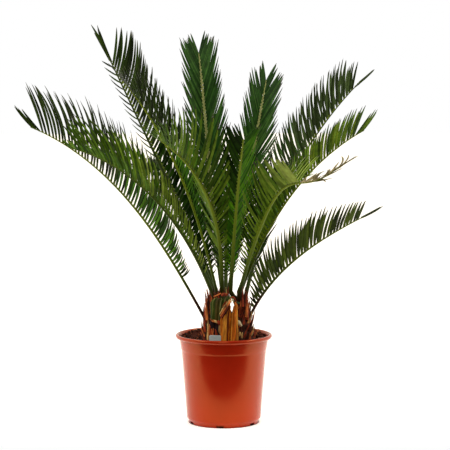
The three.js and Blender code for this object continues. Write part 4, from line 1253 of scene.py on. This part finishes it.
def add_panel(shape, chance, left, right, low, high, depths, fibres, kinds,
              bow=PANEL_BOW, ragged=PANEL_RAGGED):
    """An upright panel of overlapping fibres."""
    left, right, low, high = (np.array(edge, float).T for edge in (left, right, low, high))
    edges = np.cumsum([0] + [chance.uniform(*FIBRE_BREADTHS) for _ in range(fibres)])
    edges = edges / edges[-1]
    for start, stop in zip(edges[:-1], edges[1:]):
        share = (start + stop) / 2
        foot = np.interp(share, *low)
        top = np.interp(share, *high) - ragged * chance.random()
        ahead = chance.uniform(*FIBRE_DEPTHS) + bow * (1 - (2 * share - 1) ** 2)
        rings = []
        for i in range(PANEL_ROWS + 1):
            up = i / PANEL_ROWS
            z = lerp((foot, top), up)
            limits = [np.interp(z, *edge) for edge in (left, right)]
            x = lerp(limits, share)
            half = (limits[1] - limits[0]) * (stop - start) * FIBRE_HALF
            y = lerp(depths, up) - ahead - FIBRE_BELLY * math.sin(math.pi * up) + chance.uniform(*FIBRE_WAVES)
            rings.append([(x + u * half, y - v * PANEL_THICKNESS, z) for u, v in FIBRE_RING])
        shape.add_sweep(rings, chance.choice(kinds))


def add_band(shape, points, width, thickness, kind):
    """A flat band along a line of points, thinner at both ends."""
    points = np.asarray(points, float)
    line = on_line(points, range(len(points)), np.linspace(0, len(points) - 1, BAND_STEPS))
    line[1:-1] = (line[:-2] + 2 * line[1:-1] + line[2:]) / 4
    front = np.array([0, -1, 0])
    side = unit(np.cross(unit(np.gradient(line, axis=0)), front))
    size = lerp((BAND_END_SIZE, 1), np.sin(math.pi * np.linspace(*BAND_ENDS, BAND_STEPS)))
    rings = [[centre + across * math.cos(a) * width / 2 * scale + front * math.sin(a) * thickness / 2 * scale
              for a in full_turn(BAND_SIDES)] for centre, across, scale in zip(line, side, size)]
    shape.add_sweep(rings, kind)


def build_green_base(chance):
    shape = Shape()
    for panel in GREEN_PANELS:
        add_panel(shape, chance, **panel)
    materials = family("green_base", GREEN_BASE_COLOURS, "green_base")
    make_piece("green_base", shape, materials, ["green_leaf_base"])


def build_split_bases(chance):
    materials = family("split_base", SPLIT_COLOURS, "split_base")
    for name, panel in SPLIT_PANELS.items():
        shape = Shape()
        add_panel(shape, chance, **panel)
        make_piece(f"split_{name}", shape, materials, [f"split_base_{name}"])


def build_scraps(bark, chance):
    """Torn bits of bark and fibre round the front pieces."""
    shape = Shape()
    for panel in SCRAP_PANELS:
        add_panel(shape, chance, **panel)
    for band in SCRAP_BANDS:
        add_band(shape, *band)
    make_piece("trunk_scraps", shape, bark)


# Stage, camera and lights


def build_stage():
    """The pale table, which glows evenly except for a painted shade close round the pot's foot."""
    mesh = bpy.data.meshes.new("floor")
    rim = level_ring(FLOOR_REACH, 0, FLOOR_SIDES, 0, FLOOR_REACH + FLOOR_FRONT)
    mesh.from_pydata((rim * MM).tolist(), [], [tuple(range(FLOOR_SIDES))])
    floor = bpy.data.objects.new("floor", mesh)
    material, tree, surface = shader("floor", FLOOR_COLOUR, *FLOOR_FINISH)
    set_inputs(surface, Emission_Strength=FLOOR_GLOW)
    # Painted shade: the occlusion darkens the table's colour and glow close round the pot's foot.
    closeness = add_node(tree, "AmbientOcclusion", Distance=FLOOR_SHADE_REACH * MM)
    shade = colour_ramp(tree, FLOOR_SHADE_EDGE, (BLACK, WHITE))
    join(tree, closeness, "AO", shade, "Fac")
    join(tree, shade, "Color", surface, "Emission Color")
    join(tree, shade, "Color", surface, "Base Color")
    floor.data.materials.append(material)
    bpy.context.scene.collection.objects.link(floor)


def build_world():
    """Plain white behind the part, and round it a warm white room that is dark behind the viewer."""
    world = bpy.data.worlds.new("studio")
    world.use_nodes = True
    tree = world.node_tree
    room = tree.nodes["Background"]
    place = add_node(tree, "TexCoord")
    parts = add_node(tree, "SeparateXYZ")
    share = add_node(tree, "MapRange", From_Min=-1)
    ramp = colour_ramp(tree, ROOM_EDGE, (ROOM_DARK, ROOM_WHITE))
    backdrop = add_node(tree, "Background", Color=WHITE)
    seen = add_node(tree, "LightPath")
    either = add_node(tree, "MixShader")
    join(tree, place, "Generated", parts, "Vector")
    join(tree, parts, "Y", share, "Value")
    join(tree, share, "Result", ramp, "Fac")
    join(tree, ramp, "Color", room, "Color")
    join(tree, seen, "Is Camera Ray", either, "Fac")
    join(tree, room, "Background", either, 1)
    join(tree, backdrop, "Background", either, 2)
    join(tree, either, "Shader", tree.nodes["World Output"], "Surface")
    bpy.context.scene.world = world


def aimed(thing, place, aim):
    thing.location = Vector(place) * MM
    thing.rotation_euler = (Vector(aim) - Vector(place)).to_track_quat("-Z", "Y").to_euler()
    bpy.context.scene.collection.objects.link(thing)


def build_lights():
    for name, light in LIGHTS.items():
        data = bpy.data.lights.new(name, "AREA")
        data.size = light["size"] * MM
        data.energy = light["power"]
        data.color = LIGHT_COLOUR
        aimed(bpy.data.objects.new(name, data), light["place"], LIGHT_AIM)


def build_camera():
    data = bpy.data.cameras.new("camera")
    data.lens = CAMERA_LENS
    data.sensor_width = CAMERA_SENSOR
    data.clip_end = CAMERA_FAR_METRES
    camera = bpy.data.objects.new("camera", data)
    aimed(camera, CAMERA_PLACE, CAMERA_AIM)
    bpy.context.scene.camera = camera


build_camera()
build_pot()
build_soil()
build_label()
bark_kinds = family("bark", BARK_COLOURS, "bark")
build_trunk(bark_kinds)
front_chance = random.Random(PANEL_SEED)
build_green_base(front_chance)
build_split_bases(front_chance)
build_scraps(bark_kinds, front_chance)
build_fronds()
build_stage()
build_world()
build_lights()
bpy.context.scene.view_settings.view_transform = "Standard"
